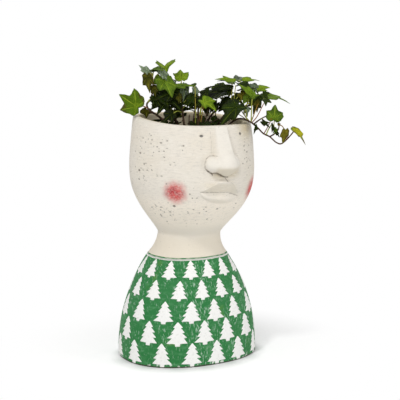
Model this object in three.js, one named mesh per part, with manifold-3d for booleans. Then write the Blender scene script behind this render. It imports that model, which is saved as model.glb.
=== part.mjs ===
// A cement head planter: a bust cast in one hollow piece, its drain plug, and a potted ivy that lifts
// out of the head. Millimetres, +Z up. The face looks along -Y; the origin is the middle of the underside.
import * as THREE from "three";
import { mergeVertices } from "three/addons/utils/BufferGeometryUtils.js";
import loadManifold from "manifold-3d";

// Torso: a rounded oval that narrows to the collar
const BASE_HALF_WIDTH = 89;
const BASE_HALF_DEPTH = 73;
const BASE_EDGE_RADIUS = 1.2;
const COLLAR_HEIGHT = 128;
const COLLAR_HALF_WIDTH = 50.7;
const COLLAR_HALF_DEPTH = 46;
const TORSO_SQUARENESS = 2.25;
const SHOULDER_POWER = 2.3;

// Neck and head: round, and set forward of the torso
const NECK_HEIGHT = 157;
const NECK_RADIUS = 39.4;
const NECK_FLARE_POWER = 2.2;
const CHEEK_HEIGHT = 242;
const CHEEK_RADIUS = 78;
const RIM_HEIGHT = 299.2;
const RIM_RADIUS = 72.8;
const RIM_TILT = 5.6;
const RIM_WAVE = 0.9;
const RIM_TURN = 15;
const RIM_WAVE_DEPTH = 30;
const LIP_ROUND = 3;
const HEAD_FORWARD = 12.5;
const HEAD_FORWARD_START = 118;
const HEAD_FORWARD_END = 200;

// Inside of the casting
const WALL = 9;
const FLOOR = 12;
const LEDGE_HEIGHT = 181;
const THROAT_RADIUS = 28;
const THROAT_BOTTOM = 146;
const DRAIN_RADIUS = 8;
const DRAIN_SEAT_DEPTH = 3.3;

// Face, with heights measured down from the rim and widths along the surface from the midline
const NOSE_LENGTH = 65;
const NOSE_REACH = 18;
const NOSE_UNDERSIDE = 9;
const NOSE_HALF_WIDTH = 24;
const BRIDGE_REACH = 4.5;
const BRIDGE_HALF_WIDTH = 12;
const WING_TOP = 36;
const WING_ROUND = 14;
const WING_LIFT = 7;
const MOUTH_BELOW_RIM = 83.5;
const MOUTH_HALF_WIDTH = 28;
const UPPER_LIP_HEIGHT = 12.5;
const UPPER_LIP_REACH = 5.5;
const UPPER_LIP_FADE = 6;
const MOUTH_REACH = 2.5;
const LOWER_LIP_HEIGHT = 13.5;
const LOWER_LIP_REACH = 6;
const EYE_BELOW_RIM = 13.3;
const EYE_OFFSET = 28;
const EYE_RADIUS = 2.6;

// Drain plug
const PLUG_FLANGE_RADIUS = 12;
const PLUG_HEAD_ABOVE_FLOOR = 2;

// Grower pot, standing on the ledge inside the head
const GROWER_BELOW_RIM = 16;
const GROWER_BASE_RADIUS = 37;
const GROWER_TOP_RADIUS = 50.5;
const GROWER_WALL = 1.4;
const GROWER_LIP_WIDTH = 3;
const GROWER_LIP_HEIGHT = 8;
const GROWER_HOLE_RADIUS = 3.5;
const GROWER_HOLE_CIRCLE = 20;
const GROWER_HOLES = 5;
const GROWER_CLEARANCE = 2;
const SOIL_BELOW_LIP = 8;
const SOIL_CROWN = 3;

// Ivy
const PLANT_TURN = 29;
const ROOT_DEPTH = 12;
const STEM_RADIUS = 1.6;
const RUNNER_RADIUS = 1.3;
const SHOOT_RADIUS = 1;
const STALK_RADIUS = 0.8;
const LEAF_THICKNESS = 1;
const LEAF_FOLD = 0.16;
const LEAF_DROOP = 0.12;

// Clearance between pieces that touch or fit
const FIT = 0.3;

// Fineness of the casting's skin, in degrees and millimetres
const FACE_SPAN = 36;
const FACE_STEP = 3;
const BACK_SEGMENTS = 18;
const FACE_ROW = 3.6;

const wasm = await loadManifold();
wasm.setup();

const clamp = (value) => Math.min(1, Math.max(0, value));
const smooth = (value) => clamp(value) ** 2 * (3 - 2 * clamp(value));
const mix = (from, to, share) => from + (to - from) * share;
const range = (count) => Array.from({ length: count }, (unused, index) => index);

// A closed geometry as a solid that can be joined and cut
function solidOf(geometry) {
  const bare = geometry.index ? geometry.toNonIndexed() : geometry.clone();
  bare.deleteAttribute("normal");
  bare.deleteAttribute("uv");
  const merged = mergeVertices(bare, 1e-3);
  const vertProperties = merged.getAttribute("position").array;
  const triVerts = Uint32Array.from(merged.index.array);
  return new wasm.Manifold(new wasm.Mesh({ numProp: 3, vertProperties, triVerts }));
}

function geometryOf(solid) {
  const mesh = solid.getMesh();
  const geometry = new THREE.BufferGeometry();
  geometry.setAttribute("position", new THREE.BufferAttribute(mesh.vertProperties, 3));
  geometry.setIndex(new THREE.BufferAttribute(mesh.triVerts, 1));
  geometry.computeVertexNormals();
  return geometry;
}

function finish(color, roughness) {
  return new THREE.MeshStandardMaterial({ color, roughness, metalness: 0 });
}

function piece(name, geometry, material) {
  const mesh = new THREE.Mesh(geometry, material);
  mesh.name = name;
  return mesh;
}

// A turned solid about +Z from [radius, height] points that start and end on the axis
function turned(profile, sides) {
  const points = profile.map(([radius, height]) => new THREE.Vector2(radius, height));
  return new THREE.LatheGeometry(points, sides).rotateX(Math.PI / 2);
}

// A round tube along a curve
function tube(curve, radius, sides, steps) {
  const corners = range(sides).map((index) => (index / sides) * 2 * Math.PI);
  const points = corners.map((turn) => new THREE.Vector2(radius * Math.cos(turn), radius * Math.sin(turn)));
  const section = new THREE.Shape(points);
  return new THREE.ExtrudeGeometry(section, { extrudePath: curve, steps, bevelEnabled: false });
}

// The casting's outer section at a height: half sizes, how square it is, and how far it stands forward
function outerSection(height) {
  const lean = (height - HEAD_FORWARD_START) / (HEAD_FORWARD_END - HEAD_FORWARD_START);
  const forward = HEAD_FORWARD * smooth(lean);
  if (height < COLLAR_HEIGHT) {
    const rise = clamp(height / COLLAR_HEIGHT) ** SHOULDER_POWER;
    return {
      halfWidth: mix(BASE_HALF_WIDTH, COLLAR_HALF_WIDTH, rise),
      halfDepth: mix(BASE_HALF_DEPTH, COLLAR_HALF_DEPTH, rise),
      squareness: TORSO_SQUARENESS,
      forward,
    };
  }
  if (height < NECK_HEIGHT) {
    const rise = (height - COLLAR_HEIGHT) / (NECK_HEIGHT - COLLAR_HEIGHT);
    const flare = (1 - rise) ** NECK_FLARE_POWER;
    return {
      halfWidth: mix(NECK_RADIUS, COLLAR_HALF_WIDTH, flare),
      halfDepth: mix(NECK_RADIUS, COLLAR_HALF_DEPTH, flare),
      squareness: mix(TORSO_SQUARENESS, 2, rise),
      forward,
    };
  }
  const radius = height < CHEEK_HEIGHT ? jawRadius(height) : crownRadius(height);
  return { halfWidth: radius, halfDepth: radius, squareness: 2, forward };
}

// The jaw swells quickly from the neck and flattens towards the cheeks
function jawRadius(height) {
  const rise = (height - NECK_HEIGHT) / (CHEEK_HEIGHT - NECK_HEIGHT);
  return mix(NECK_RADIUS, CHEEK_RADIUS, 1 - (1 - rise ** 1.25) ** 2.6);
}

function crownRadius(height) {
  const rise = (height - CHEEK_HEIGHT) / (RIM_HEIGHT - CHEEK_HEIGHT);
  return mix(CHEEK_RADIUS, RIM_RADIUS, rise ** 1.6);
}

// The rim is a little higher at the back and waves gently; angles run from the face towards +X
function rimLift(angle) {
  const turn = angle - THREE.MathUtils.degToRad(RIM_TURN);
  return -RIM_TILT * Math.cos(turn) + RIM_WAVE * Math.cos(3 * turn);
}

// The nose: a flat-topped bridge that deepens downwards and swells into a bulb with a wing on either side
function noseRelief(across, below) {
  const widen = smooth((below - WING_TOP) / WING_ROUND);
  const edge = clamp(across / mix(BRIDGE_HALF_WIDTH, NOSE_HALF_WIDTH, widen));
  const bridge = smooth((1 - edge) / 0.4);
  const bulb = (1 - edge ** 2) ** 0.7;
  const bottom = NOSE_LENGTH - WING_LIFT * (across / NOSE_HALF_WIDTH) ** 2;
  const underside = smooth((bottom - below) / NOSE_UNDERSIDE);
  const reach = mix(BRIDGE_REACH, NOSE_REACH, clamp(below / NOSE_LENGTH) ** 1.6);
  return reach * mix(bridge, bulb, widen) * underside;
}

// The upper lip is a plane like a low tent that slants in to the mouth; the lower lip is a roll
function lipRelief(across, below) {
  const side = clamp(1 - across / MOUTH_HALF_WIDTH);
  const up = MOUTH_BELOW_RIM - below;
  if (side === 0) return 0;
  if (up < 0) {
    const down = clamp(-up / (LOWER_LIP_HEIGHT * Math.sqrt(1 - (1 - side) ** 2)));
    const roll = Math.sin(Math.PI * down ** 0.7);
    return Math.sqrt(side) * mix(MOUTH_REACH * (1 - down), LOWER_LIP_REACH, roll);
  }
  const edge = UPPER_LIP_HEIGHT * side;
  const slant = mix(MOUTH_REACH, UPPER_LIP_REACH, clamp(up / edge));
  return Math.sqrt(side) * slant * smooth(1 - (up - edge) / UPPER_LIP_FADE);
}

function faceRelief(angle, height) {
  if (Math.abs(angle) > Math.PI / 4) return 0;
  const across = Math.abs(angle) * CHEEK_RADIUS;
  const below = RIM_HEIGHT - height;
  return noseRelief(across, below) + lipRelief(across, below);
}

// Angles round the casting, closer together across the face
function skinAngles() {
  const faceCount = (2 * FACE_SPAN) / FACE_STEP;
  const backStep = (360 - 2 * FACE_SPAN) / BACK_SEGMENTS;
  const face = range(faceCount).map((index) => -FACE_SPAN + index * FACE_STEP);
  const back = range(BACK_SEGMENTS).map((index) => FACE_SPAN + index * backStep);
  return [...face, ...back].map(THREE.MathUtils.degToRad);
}

// One ring of points: a superellipse in from the outer section, following the rim's waves near the top
function ring(angles, height, { inset = 0, relief = false, section = outerSection(height) } = {}) {
  const follow = smooth(1 - (RIM_HEIGHT - height) / RIM_WAVE_DEPTH);
  return angles.map((angle) => {
    const sine = Math.abs(Math.sin(angle) / (section.halfWidth - inset)) ** section.squareness;
    const cosine = Math.abs(Math.cos(angle) / (section.halfDepth - inset)) ** section.squareness;
    const radius = (sine + cosine) ** (-1 / section.squareness) + (relief ? faceRelief(angle, height) : 0);
    const z = height + follow * rimLift(angle);
    return [radius * Math.sin(angle), -radius * Math.cos(angle) - section.forward, z];
  });
}

function roundRing(angles, radius, height, forward = outerSection(height).forward) {
  const section = { halfWidth: radius, halfDepth: radius, squareness: 2, forward };
  return ring(angles, height, { section });
}

// The inner skin lies one wall in from the outer one, measured square to a slanting side
function innerInset(height) {
  const step = 0.5;
  const change = outerSection(height + step).halfWidth - outerSection(height - step).halfWidth;
  return WALL * Math.hypot(1, change / (2 * step));
}

// Inside the head the skin also stays clear of the grower pot
function cupInset(height) {
  const potSpace = growerOuter(height - LEDGE_HEIGHT) + GROWER_CLEARANCE;
  return Math.min(innerInset(height), outerSection(height).halfWidth - potSpace);
}

// Rings joined in a closed loop, each to the next and the last to the first
function loftLoop(rings) {
  const count = rings[0].length;
  const index = [];
  rings.forEach((unused, row) => {
    const next = (row + 1) % rings.length;
    range(count).forEach((column) => {
      const beside = (column + 1) % count;
      const [a, b] = [row * count + column, row * count + beside];
      const [c, d] = [next * count + beside, next * count + column];
      index.push(a, b, c, a, c, d);
    });
  });
  const geometry = new THREE.BufferGeometry();
  geometry.setAttribute("position", new THREE.Float32BufferAttribute(rings.flat(2), 3));
  geometry.setIndex(index);
  return geometry;
}

// Evenly spaced heights from one level up to, but without, another
function levels(from, to, spacing) {
  const count = Math.max(1, Math.round((to - from) / spacing));
  return range(count).map((index) => mix(from, to, index / count));
}

function cementPot() {
  const angles = skinAngles();
  const mouth = RIM_HEIGHT - MOUTH_BELOW_RIM;
  const lowerLip = mouth - LOWER_LIP_HEIGHT;
  const upperLip = mouth + UPPER_LIP_HEIGHT;
  const noseBottom = RIM_HEIGHT - NOSE_LENGTH;
  const lipTop = RIM_HEIGHT - LIP_ROUND;
  const quarter = [0, 30, 60, 90].map(THREE.MathUtils.degToRad);
  const plugSeat = PLUG_FLANGE_RADIUS + FIT;

  const foot = quarter.slice(0, 3).map((turn) => {
    const inset = BASE_EDGE_RADIUS * (1 - Math.sin(turn));
    return ring(angles, BASE_EDGE_RADIUS * (1 - Math.cos(turn)), { inset });
  });
  const torso = levels(BASE_EDGE_RADIUS, COLLAR_HEIGHT, 16);
  const neck = levels(COLLAR_HEIGHT, NECK_HEIGHT, 6);
  const jaw = levels(NECK_HEIGHT, lowerLip, 6);
  const lips = [...levels(lowerLip, mouth, FACE_ROW), ...levels(mouth, upperLip, FACE_ROW), upperLip];
  const nose = levels(noseBottom, lipTop, FACE_ROW);
  const outer = (height) => ring(angles, height, { relief: true });
  const outside = [...torso, ...neck, ...jaw, ...lips, ...nose].map(outer);

  const lip = [...quarter].map((turn) => {
    const inset = LIP_ROUND * (1 - Math.cos(turn));
    return ring(angles, lipTop + LIP_ROUND * Math.sin(turn), { inset, relief: true });
  });
  const innerLip = [...quarter].reverse().map((turn) => {
    const inset = WALL - LIP_ROUND * (1 - Math.cos(turn));
    return ring(angles, lipTop + LIP_ROUND * Math.sin(turn), { inset });
  });
  const inner = (height) => ring(angles, height, { inset: innerInset(height) });
  const aroundPot = (height) => ring(angles, height, { inset: cupInset(height) });
  const cup = levels(LEDGE_HEIGHT, lipTop, 20).reverse().map(aroundPot);
  const throat = [LEDGE_HEIGHT, THROAT_BOTTOM].map((height) => roundRing(angles, THROAT_RADIUS, height));
  const chamber = levels(FLOOR, COLLAR_HEIGHT, 24).reverse().map(inner);
  const drain = [
    roundRing(angles, DRAIN_RADIUS, FLOOR),
    roundRing(angles, DRAIN_RADIUS, DRAIN_SEAT_DEPTH),
    roundRing(angles, plugSeat, DRAIN_SEAT_DEPTH),
    roundRing(angles, plugSeat, 0),
  ];
  const insideRings = [...innerLip, ...cup, ...throat, ...chamber, ...drain];
  let solid = solidOf(loftLoop([...foot, ...outside, ...lip, ...insideRings]));
  for (const side of [-1, 1]) {
    const angle = (side * EYE_OFFSET) / CHEEK_RADIUS;
    const height = RIM_HEIGHT - EYE_BELOW_RIM;
    const [x, y, z] = ring([angle], height)[0];
    solid = solid.subtract(solidOf(new THREE.SphereGeometry(EYE_RADIUS, 10, 6).translate(x, y, z)));
  }
  return geometryOf(solid);
}

function drainPlug() {
  const shank = DRAIN_RADIUS - FIT;
  const flange = DRAIN_SEAT_DEPTH - FIT;
  const top = FLOOR + PLUG_HEAD_ABOVE_FLOOR;
  const profile = [
    [0, 0],
    [PLUG_FLANGE_RADIUS, 0],
    [PLUG_FLANGE_RADIUS, flange],
    [shank, flange],
    [shank, FLOOR],
    [shank - PLUG_HEAD_ABOVE_FLOOR, top],
    [0, top],
  ];
  return turned(profile, 32);
}

const growerHeight = RIM_HEIGHT - GROWER_BELOW_RIM - LEDGE_HEIGHT - FIT;
const soilHeight = growerHeight - SOIL_BELOW_LIP;
const growerOuter = (height) => mix(GROWER_BASE_RADIUS, GROWER_TOP_RADIUS, height / growerHeight);
const growerInner = (height) => growerOuter(height) - GROWER_WALL;

function growerPot() {
  const underLip = growerHeight - GROWER_LIP_HEIGHT;
  const lipRadius = GROWER_TOP_RADIUS + GROWER_LIP_WIDTH;
  const profile = [
    [0, 0],
    [GROWER_BASE_RADIUS, 0],
    [growerOuter(underLip), underLip],
    [lipRadius, underLip],
    [lipRadius, growerHeight],
    [growerInner(growerHeight), growerHeight],
    [growerInner(GROWER_WALL), GROWER_WALL],
    [0, GROWER_WALL],
  ];
  let solid = solidOf(turned(profile, 36));
  for (const index of range(GROWER_HOLES)) {
    const angle = (index / GROWER_HOLES) * 2 * Math.PI;
    const hole = new THREE.CylinderGeometry(GROWER_HOLE_RADIUS, GROWER_HOLE_RADIUS, 4 * GROWER_WALL, 12);
    hole.rotateX(Math.PI / 2);
    hole.translate(GROWER_HOLE_CIRCLE * Math.cos(angle), GROWER_HOLE_CIRCLE * Math.sin(angle), 0);
    solid = solid.subtract(solidOf(hole));
  }
  return geometryOf(solid);
}

// Stem routes: x to the right as the pot is usually seen, y to the back, z up, all from the soil's crown.
// Each starts ROOT_DEPTH down in the compost.
const STEM_ROUTES = {
  left: [[-14, -8], [-28, -11, 12], [-43, -14, 26], [-52, -18, 32], [-55, -16, 39], [-50, -12, 46],
    [-48, -6, 58], [-48, 0, 68], [-49, 4, 76]],
  left_inner: [[-8, -2], [-17, -3, 12], [-25, -4, 30], [-33, -4, 46], [-36, 1, 60], [-33, 8, 74]],
  middle: [[-3, -12], [-8, -11, 4], [-10, -10, 18], [-12, -8, 34], [-13, 3, 50], [-13, 12, 64]],
  front: [[4, -20], [7, -21, 8], [10, -22, 26]],
  back: [[6, 5], [7, 8, 8], [8, 12, 26], [8, 18, 44], [6, 24, 56]],
  right_back: [[12, 4], [16, 5, 8], [24, 6, 24], [38, 8, 37], [48, 14, 50], [52, 22, 60]],
  right_inner: [[22, -6], [31, -6, 12], [43, -4, 28], [57, 0, 40], [62, 6, 52], [63, 13, 63]],
  right: [[27, -14], [37, -15, 12], [50, -14, 27], [68, -10, 36], [78, -3, 44], [83, 5, 50]],
  runner: [[32, -20], [42, -22, 10], [52, -24, 20], [60, -25, 22], [67, -26, 20], [73, -27, 17], [78, -27, 13],
    [83, -27, 8], [87, -26, 4], [95, -25, 0], [103, -24, -7], [109, -22, -9], [116, -21, -4], [124, -20, 5]],
};

// Side shoots: the stem that each grows from, how far along that stem, and its route from there
const SHOOT_ROUTES = {
  runner_shoot: { stem: "runner", at: 0.5, route: [[7, 3, 5], [15, 6, 9], [22, 9, 10]] },
  runner_sprig: { stem: "runner", at: 0.7, route: [[7, 3, 4], [11, 5, 9], [12, 6, 15]] },
};

// Stems that are thinner than the rest
const STEM_RADII = { runner: RUNNER_RADIUS, runner_shoot: SHOOT_RADIUS, runner_sprig: SHOOT_RADIUS };

// Leaves: the stem and how far along it, the stalk from there to the blade, the blade from the stalk to
// its tip, the blade's width, the way its upper side faces, its tone, and its fold where it isn't the usual one
const LEAVES = [
  ["left_inner", 0.99, [0, 2, 11], [2, -13, -6], 24, [0, -0.4, 0.9], "lime", 0.85],
  ["left", 0.95, [2, -9, 9], [12, -14, 3], 18, [0, -0.25, 1], "mid"],
  ["left", 0.98, [-5, 5, 3], [-13, 6, 11], 10, [-0.4, -0.6, 0.7], "grey"],
  ["left", 0.8, [-6, -10, 16], [2, -9, -18], 14, [-0.2, -0.9, 0.4], "olive"],
  ["left", 0.74, [2, -6, 9], [3, -9, -10], 9, [-0.1, -0.8, 0.6], "olive"],
  ["left_inner", 0.8, [2, -16, 10], [11, -14, -18], 24, [0.1, -0.7, 0.7], "mid"],
  ["left_inner", 0.62, [-2, -8, 6], [22, -8, -11], 27, [0, -0.5, 0.9], "dark"],
  ["left_inner", 0.9, [2, 12, 3], [15, 14, 1], 18, [0, -0.2, 1], "grey"],
  ["middle", 0.99, [0, 3, 6], [-1, 8, 13], 20, [0, -0.8, 0.5], "lime", 0.3],
  ["back", 0.98, [-7, 3, 6], [-14, 14, 1], 17, [0, -0.2, 1], "mid"],
  ["middle", 0.74, [4, -8, 15], [-1, -9, -18], 12, [0.2, -0.9, 0.3], "grey"],
  ["back", 0.66, [-6, -9, 12], [4, -10, -13], 12, [0, -0.8, 0.5], "dark"],
  ["middle", 0.5, [-13, -16, -1], [-11, -5, -8], 17, [-0.2, -0.8, 0.5], "dark"],
  ["left", 0.56, [-14, -8, 3], [-21, -5, 15], 29, [-0.25, -0.95, 0.2], "lime"],
  ["left", 0.46, [-10, 7, 4], [-1, -4, -9], 16, [-0.1, -0.7, 0.7], "olive"],
  ["front", 0.98, [5, -4, 18], [15, -10, -10], 18, [0.3, -0.8, 0.5], "lime"],
  ["right_back", 0.66, [0, -10, 16], [-30, -12, -12], 27, [-0.2, -0.4, 0.9], "dark"],
  ["right_back", 0.85, [-6, 8, 6], [-25, 14, 8], 18, [0.1, -0.1, 1], "dark"],
  ["right_back", 0.99, [-3, 7, 5], [-14, 14, 8], 16, [0.2, -0.1, 1], "mid"],
  ["right_inner", 0.99, [-5, 12, 5], [8, 12, 8], 15, [0, -0.5, 0.8], "grey"],
  ["right_inner", 0.96, [5, 2, 7], [17, 2, 4], 16, [0.1, -0.3, 0.9], "lime"],
  ["right_inner", 0.78, [2, -8, 11], [17, -9, 4], 18, [0.1, -0.3, 1], "dark"],
  ["right", 0.98, [0, 5, 6], [16, 7, 7], 16, [0.2, -0.4, 0.9], "lime"],
  ["runner", 0.47, [1, -2, 34], [-16, -2, 14], 10, [-0.4, -0.6, 0.7], "mid"],
  ["right", 0.92, [14, -3, 2], [26, -10, -1], 18, [0, -0.3, 1], "mid"],
  ["right", 0.98, [8, 12, -3], [5, 13, -8], 16, [0.3, 0.3, 0.8], "dark"],
  ["right", 0.8, [5, -5, 5], [-2, -3, -18], 15, [0.3, -0.9, 0.4], "dark"],
  ["runner_shoot", 0.97, [4, -4, -3], [2, 5, 17], 23, [0.1, -0.95, 0.3], "mid"],
  ["right", 0.5, [4, -16, 9], [-23, -12, -19], 28, [-0.2, -0.7, 0.7], "dark"],
  ["right_inner", 0.66, [10, 8, -3], [7, 11, -6], 14, [0.3, 0.2, 0.9], "dark"],
  ["runner_shoot", 0.5, [1, -5, -4], [8, -5, -6], 8, [0, -0.8, 0.6], "dark"],
  ["runner", 0.99, [3, 1, 3], [14, -7, -13], 11, [0.5, -0.7, 0.5], "lime", 0.4],
  ["runner", 0.9, [-2, -6, 11], [-3, -4, -15], 11, [0.2, -0.9, 0.3], "olive"],
  ["runner", 0.51, [1, -5, -1], [0, -2, -10], 6, [0.6, -0.7, 0.2], "dark"],
  ["runner", 0.66, [7, -4, 13], [2, -3, -9], 6, [0.7, -0.6, 0.2], "dark"],
  ["runner_sprig", 0.5, [-1, -4, 4], [-4, -4, -5], 6, [0.2, -0.8, 0.4], "mid"],
  ["middle", 0.72, [3, 15, -2], [20, 3, -8], 22, [0, -0.5, 0.9], "dark"],
  ["back", 0.5, [-12, 14, 8], [-18, 16, -6], 26, [-0.2, 0.3, 0.9], "dark"],
  ["back", 0.62, [8, 14, 4], [6, 22, -8], 26, [0.2, 0.3, 0.9], "mid"],
  ["left_inner", 0.5, [-8, 16, 8], [-20, 14, -8], 26, [-0.3, 0.2, 0.9], "mid"],
  ["right_back", 0.5, [6, 18, 8], [16, 14, -3], 22, [0.3, 0.3, 0.9], "dark"],
  ["middle", 0.4, [-4, 16, 4], [-12, 20, -6], 22, [-0.2, 0.3, 0.9], "dark"],
  ["front", 0.6, [8, -8, 5], [8, -17, -6], 18, [0.2, -0.5, 0.8], "dark"],
  ["left", 0.26, [-8, 14, 5], [-18, 14, -4], 22, [-0.3, 0.2, 0.9], "dark"],
];

// Colour and roughness of each tone
const LEAF_TONES = {
  lime: [0x86b32f, 0.45],
  mid: [0x4f8a35, 0.45],
  dark: [0x24452a, 0.4],
  grey: [0x5d7d64, 0.5],
  olive: [0x586026, 0.5],
};

// Half of a five-lobed ivy blade about its stalk: angle from the midrib in degrees, and reach as a share
// of the length
const LEAF_LOBES = [[0, 1], [22, 0.58], [46, 0.72], [76, 0.48], [112, 0.42], [150, 0.3], [180, 0.12]];
const LEAF_NATURAL_WIDTH = 2 * 0.72 * Math.sin(THREE.MathUtils.degToRad(46));

// A blade as a fan about the stalk, folded up along its midrib and drooping towards its tip
function leafBlade(length, width, fold) {
  const far = LEAF_LOBES.slice(1, -1).reverse().map(([angle, reach]) => [-angle, reach]);
  const outline = [...LEAF_LOBES, ...far].map(([angle, reach]) => {
    const turn = THREE.MathUtils.degToRad(angle);
    const x = (reach * Math.sin(turn) * width) / LEAF_NATURAL_WIDTH;
    const y = reach * Math.cos(turn) * length;
    return [x, y, fold * Math.abs(x) - (LEAF_DROOP * y ** 2) / length];
  });
  const upper = [[0, 0, 0], ...outline];
  const lower = upper.map(([x, y, z]) => [x, y, z - LEAF_THICKNESS]);
  const count = outline.length;
  const under = upper.length;
  const index = [];
  range(count).forEach((corner) => {
    const a = 1 + corner;
    const b = 1 + ((corner + 1) % count);
    index.push(0, b, a, under, under + a, under + b, a, b, under + b, a, under + b, under + a);
  });
  const geometry = new THREE.BufferGeometry();
  geometry.setAttribute("position", new THREE.Float32BufferAttribute([...upper, ...lower].flat(), 3));
  geometry.setIndex(index);
  return geometry;
}

const vector = (values) => new THREE.Vector3(...values);

function stemCurves() {
  const curves = {};
  for (const [name, [[rootX, rootY], ...route]] of Object.entries(STEM_ROUTES)) {
    curves[name] = new THREE.CatmullRomCurve3([vector([rootX, rootY, -ROOT_DEPTH]), ...route.map(vector)]);
  }
  for (const [name, { stem, at, route }] of Object.entries(SHOOT_ROUTES)) {
    const start = curves[stem].getPointAt(at);
    curves[name] = new THREE.CatmullRomCurve3([start, ...route.map((offset) => vector(offset).add(start))]);
  }
  return curves;
}

// A stem's tube, or with a clearance the space that it needs in what it grows through
function stemTube(name, curve, clearance = 0) {
  const radius = (STEM_RADII[name] ?? STEM_RADIUS) + clearance;
  const steps = Math.ceil(curve.getLength() / 8);
  return solidOf(tube(curve, radius, 5, steps));
}

// A leaf: its blade, turned so that the tip and the upper side lie as listed, joined to its stalk
function leafSolid(carrier, at, stalk, blade, width, face, fold) {
  const start = carrier.getPointAt(at);
  const joint = vector(stalk).add(start);
  const along = vector(blade).normalize();
  const across = along.clone().cross(vector(face)).normalize();
  const upwards = across.clone().cross(along);
  const place = new THREE.Matrix4().makeBasis(across, along, upwards).setPosition(joint);
  const bladeSolid = solidOf(leafBlade(vector(blade).length(), width, fold).applyMatrix4(place));

  const sag = upwards.clone().multiplyScalar(-LEAF_THICKNESS / 2);
  const middle = start.clone().lerp(joint, 0.5).add(vector([0, 0, 0.12 * vector(stalk).length()]));
  const hold = joint.clone().addScaledVector(along, 2 * STALK_RADIUS).add(sag);
  const route = new THREE.CatmullRomCurve3([start, middle, joint.clone().add(sag), hold]);
  return bladeSolid.add(solidOf(tube(route, STALK_RADIUS, 4, 4)));
}

// The plant stands on the ledge in its own frame, turned to the side that it is usually seen from
function plant() {
  const pot = new THREE.Group();
  pot.position.set(0, -HEAD_FORWARD, LEDGE_HEIGHT + FIT);
  pot.rotation.z = -THREE.MathUtils.degToRad(PLANT_TURN);
  pot.add(piece("grower_pot", growerPot(), finish(0x2b2b2b, 0.6)));

  const ivy = new THREE.Group();
  ivy.position.z = soilHeight + SOIL_CROWN;
  const curves = stemCurves();
  const ball = [
    [0, GROWER_WALL + FIT],
    [growerInner(GROWER_WALL) - FIT, GROWER_WALL + FIT],
    [growerInner(soilHeight) - FIT, soilHeight],
    [0.6 * growerInner(soilHeight), soilHeight + 0.7 * SOIL_CROWN],
    [0, soilHeight + SOIL_CROWN],
  ];
  let soil = solidOf(turned(ball, 24)).translate([0, 0, -ivy.position.z]);

  for (const [name, curve] of Object.entries(curves)) {
    const shoot = SHOOT_ROUTES[name];
    let solid = stemTube(name, curve);
    if (shoot) solid = solid.subtract(stemTube(shoot.stem, curves[shoot.stem], FIT));
    else soil = soil.subtract(stemTube(name, rootedCurve(curve), FIT));
    ivy.add(piece(`ivy_stem_${name}`, geometryOf(solid), finish(0x5a4028, 0.8)));
  }
  LEAVES.forEach(([stem, at, stalk, blade, width, face, tone, fold = LEAF_FOLD], index) => {
    const space = stemTube(stem, curves[stem], FIT);
    const solid = leafSolid(curves[stem], at, stalk, blade, width, face, fold).subtract(space);
    const number = String(index + 1).padStart(2, "0");
    ivy.add(piece(`ivy_leaf_${number}`, geometryOf(solid), finish(...LEAF_TONES[tone])));
  });
  ivy.add(piece("root_ball", geometryOf(soil), finish(0x3a2c20, 0.95)));
  pot.add(ivy);
  return pot;
}

// A stem's curve with its root end let down by the clearance, for the pocket that it makes in the compost
function rootedCurve(curve) {
  const [root, ...rest] = curve.points;
  return new THREE.CatmullRomCurve3([root.clone().setZ(root.z - FIT), ...rest]);
}

const planter = new THREE.Group();
planter.add(piece("cement_pot", cementPot(), finish(0xe1dcce, 0.9)));
planter.add(piece("drain_plug", drainPlug(), finish(0x1d1d1d, 0.8)));
planter.add(plant());

export default planter;
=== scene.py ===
import math
import bpy
import bmesh
import numpy as np
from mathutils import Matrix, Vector


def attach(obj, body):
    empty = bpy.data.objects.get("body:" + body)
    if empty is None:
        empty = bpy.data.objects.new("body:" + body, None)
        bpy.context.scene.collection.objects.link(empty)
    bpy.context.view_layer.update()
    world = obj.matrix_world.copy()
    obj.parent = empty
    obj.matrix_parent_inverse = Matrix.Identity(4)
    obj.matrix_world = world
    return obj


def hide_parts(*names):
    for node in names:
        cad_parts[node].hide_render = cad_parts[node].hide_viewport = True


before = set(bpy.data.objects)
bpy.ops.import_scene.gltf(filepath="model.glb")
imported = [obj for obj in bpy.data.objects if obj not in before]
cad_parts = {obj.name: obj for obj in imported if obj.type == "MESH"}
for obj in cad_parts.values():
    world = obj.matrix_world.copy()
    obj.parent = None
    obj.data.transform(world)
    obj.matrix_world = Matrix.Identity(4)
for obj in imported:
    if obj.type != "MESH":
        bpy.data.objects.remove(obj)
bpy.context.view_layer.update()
mm = 0.001
chance = np.random.default_rng(11)
print("frame loaded:", len(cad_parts), "nodes")


# small helpers for numbers and grids

# from one value to another by a share of the way
def mix(first, second, share):
    return first + (second - first) * share


# eased from 0 to 1: three times the square less twice the cube
def smooth(value):
    value = np.clip(value, 0, 1)
    return value * value * (3 - 2 * value)


# how far a value is from one bound to another, held between 0 and 1
def between(value, low, high):
    return np.clip((value - low) / (high - low), 0, 1)


# 1 at 0, falling off on both sides like a bell
def bell(value):
    return np.exp(-value ** 2)


# vectors brought to a length of 1
def unit(vectors):
    return vectors / np.linalg.norm(vectors, axis=-1, keepdims=True)


# evenly spaced angles of one full turn
def fullTurn(count):
    return np.linspace(0, 2 * np.pi, count, endpoint=False)


# quads of a grid counted row by row, whose last column meets the first; looped joins its end rows too
def gridQuads(rows, columns, looped=False):
    row = np.arange(rows if looped else rows - 1)[:, None]
    column = np.arange(columns)[None, :]
    above, beside = (row + 1) % rows, (column + 1) % columns
    corners = [(row, column), (row, beside), (above, beside), (above, column)]
    numbers = [level * columns + place for level, place in corners]
    return np.stack(np.broadcast_arrays(*numbers), -1).reshape(-1, 4)


# triangles from a ring of points, numbered from first, to one tip
def fan(tip, first, count, forward):
    column = np.arange(count)
    beside = (column + 1) % count
    pair = (column, beside) if forward else (beside, column)
    return np.stack([np.full(count, tip), first + pair[0], first + pair[1]], -1).tolist()


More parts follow.
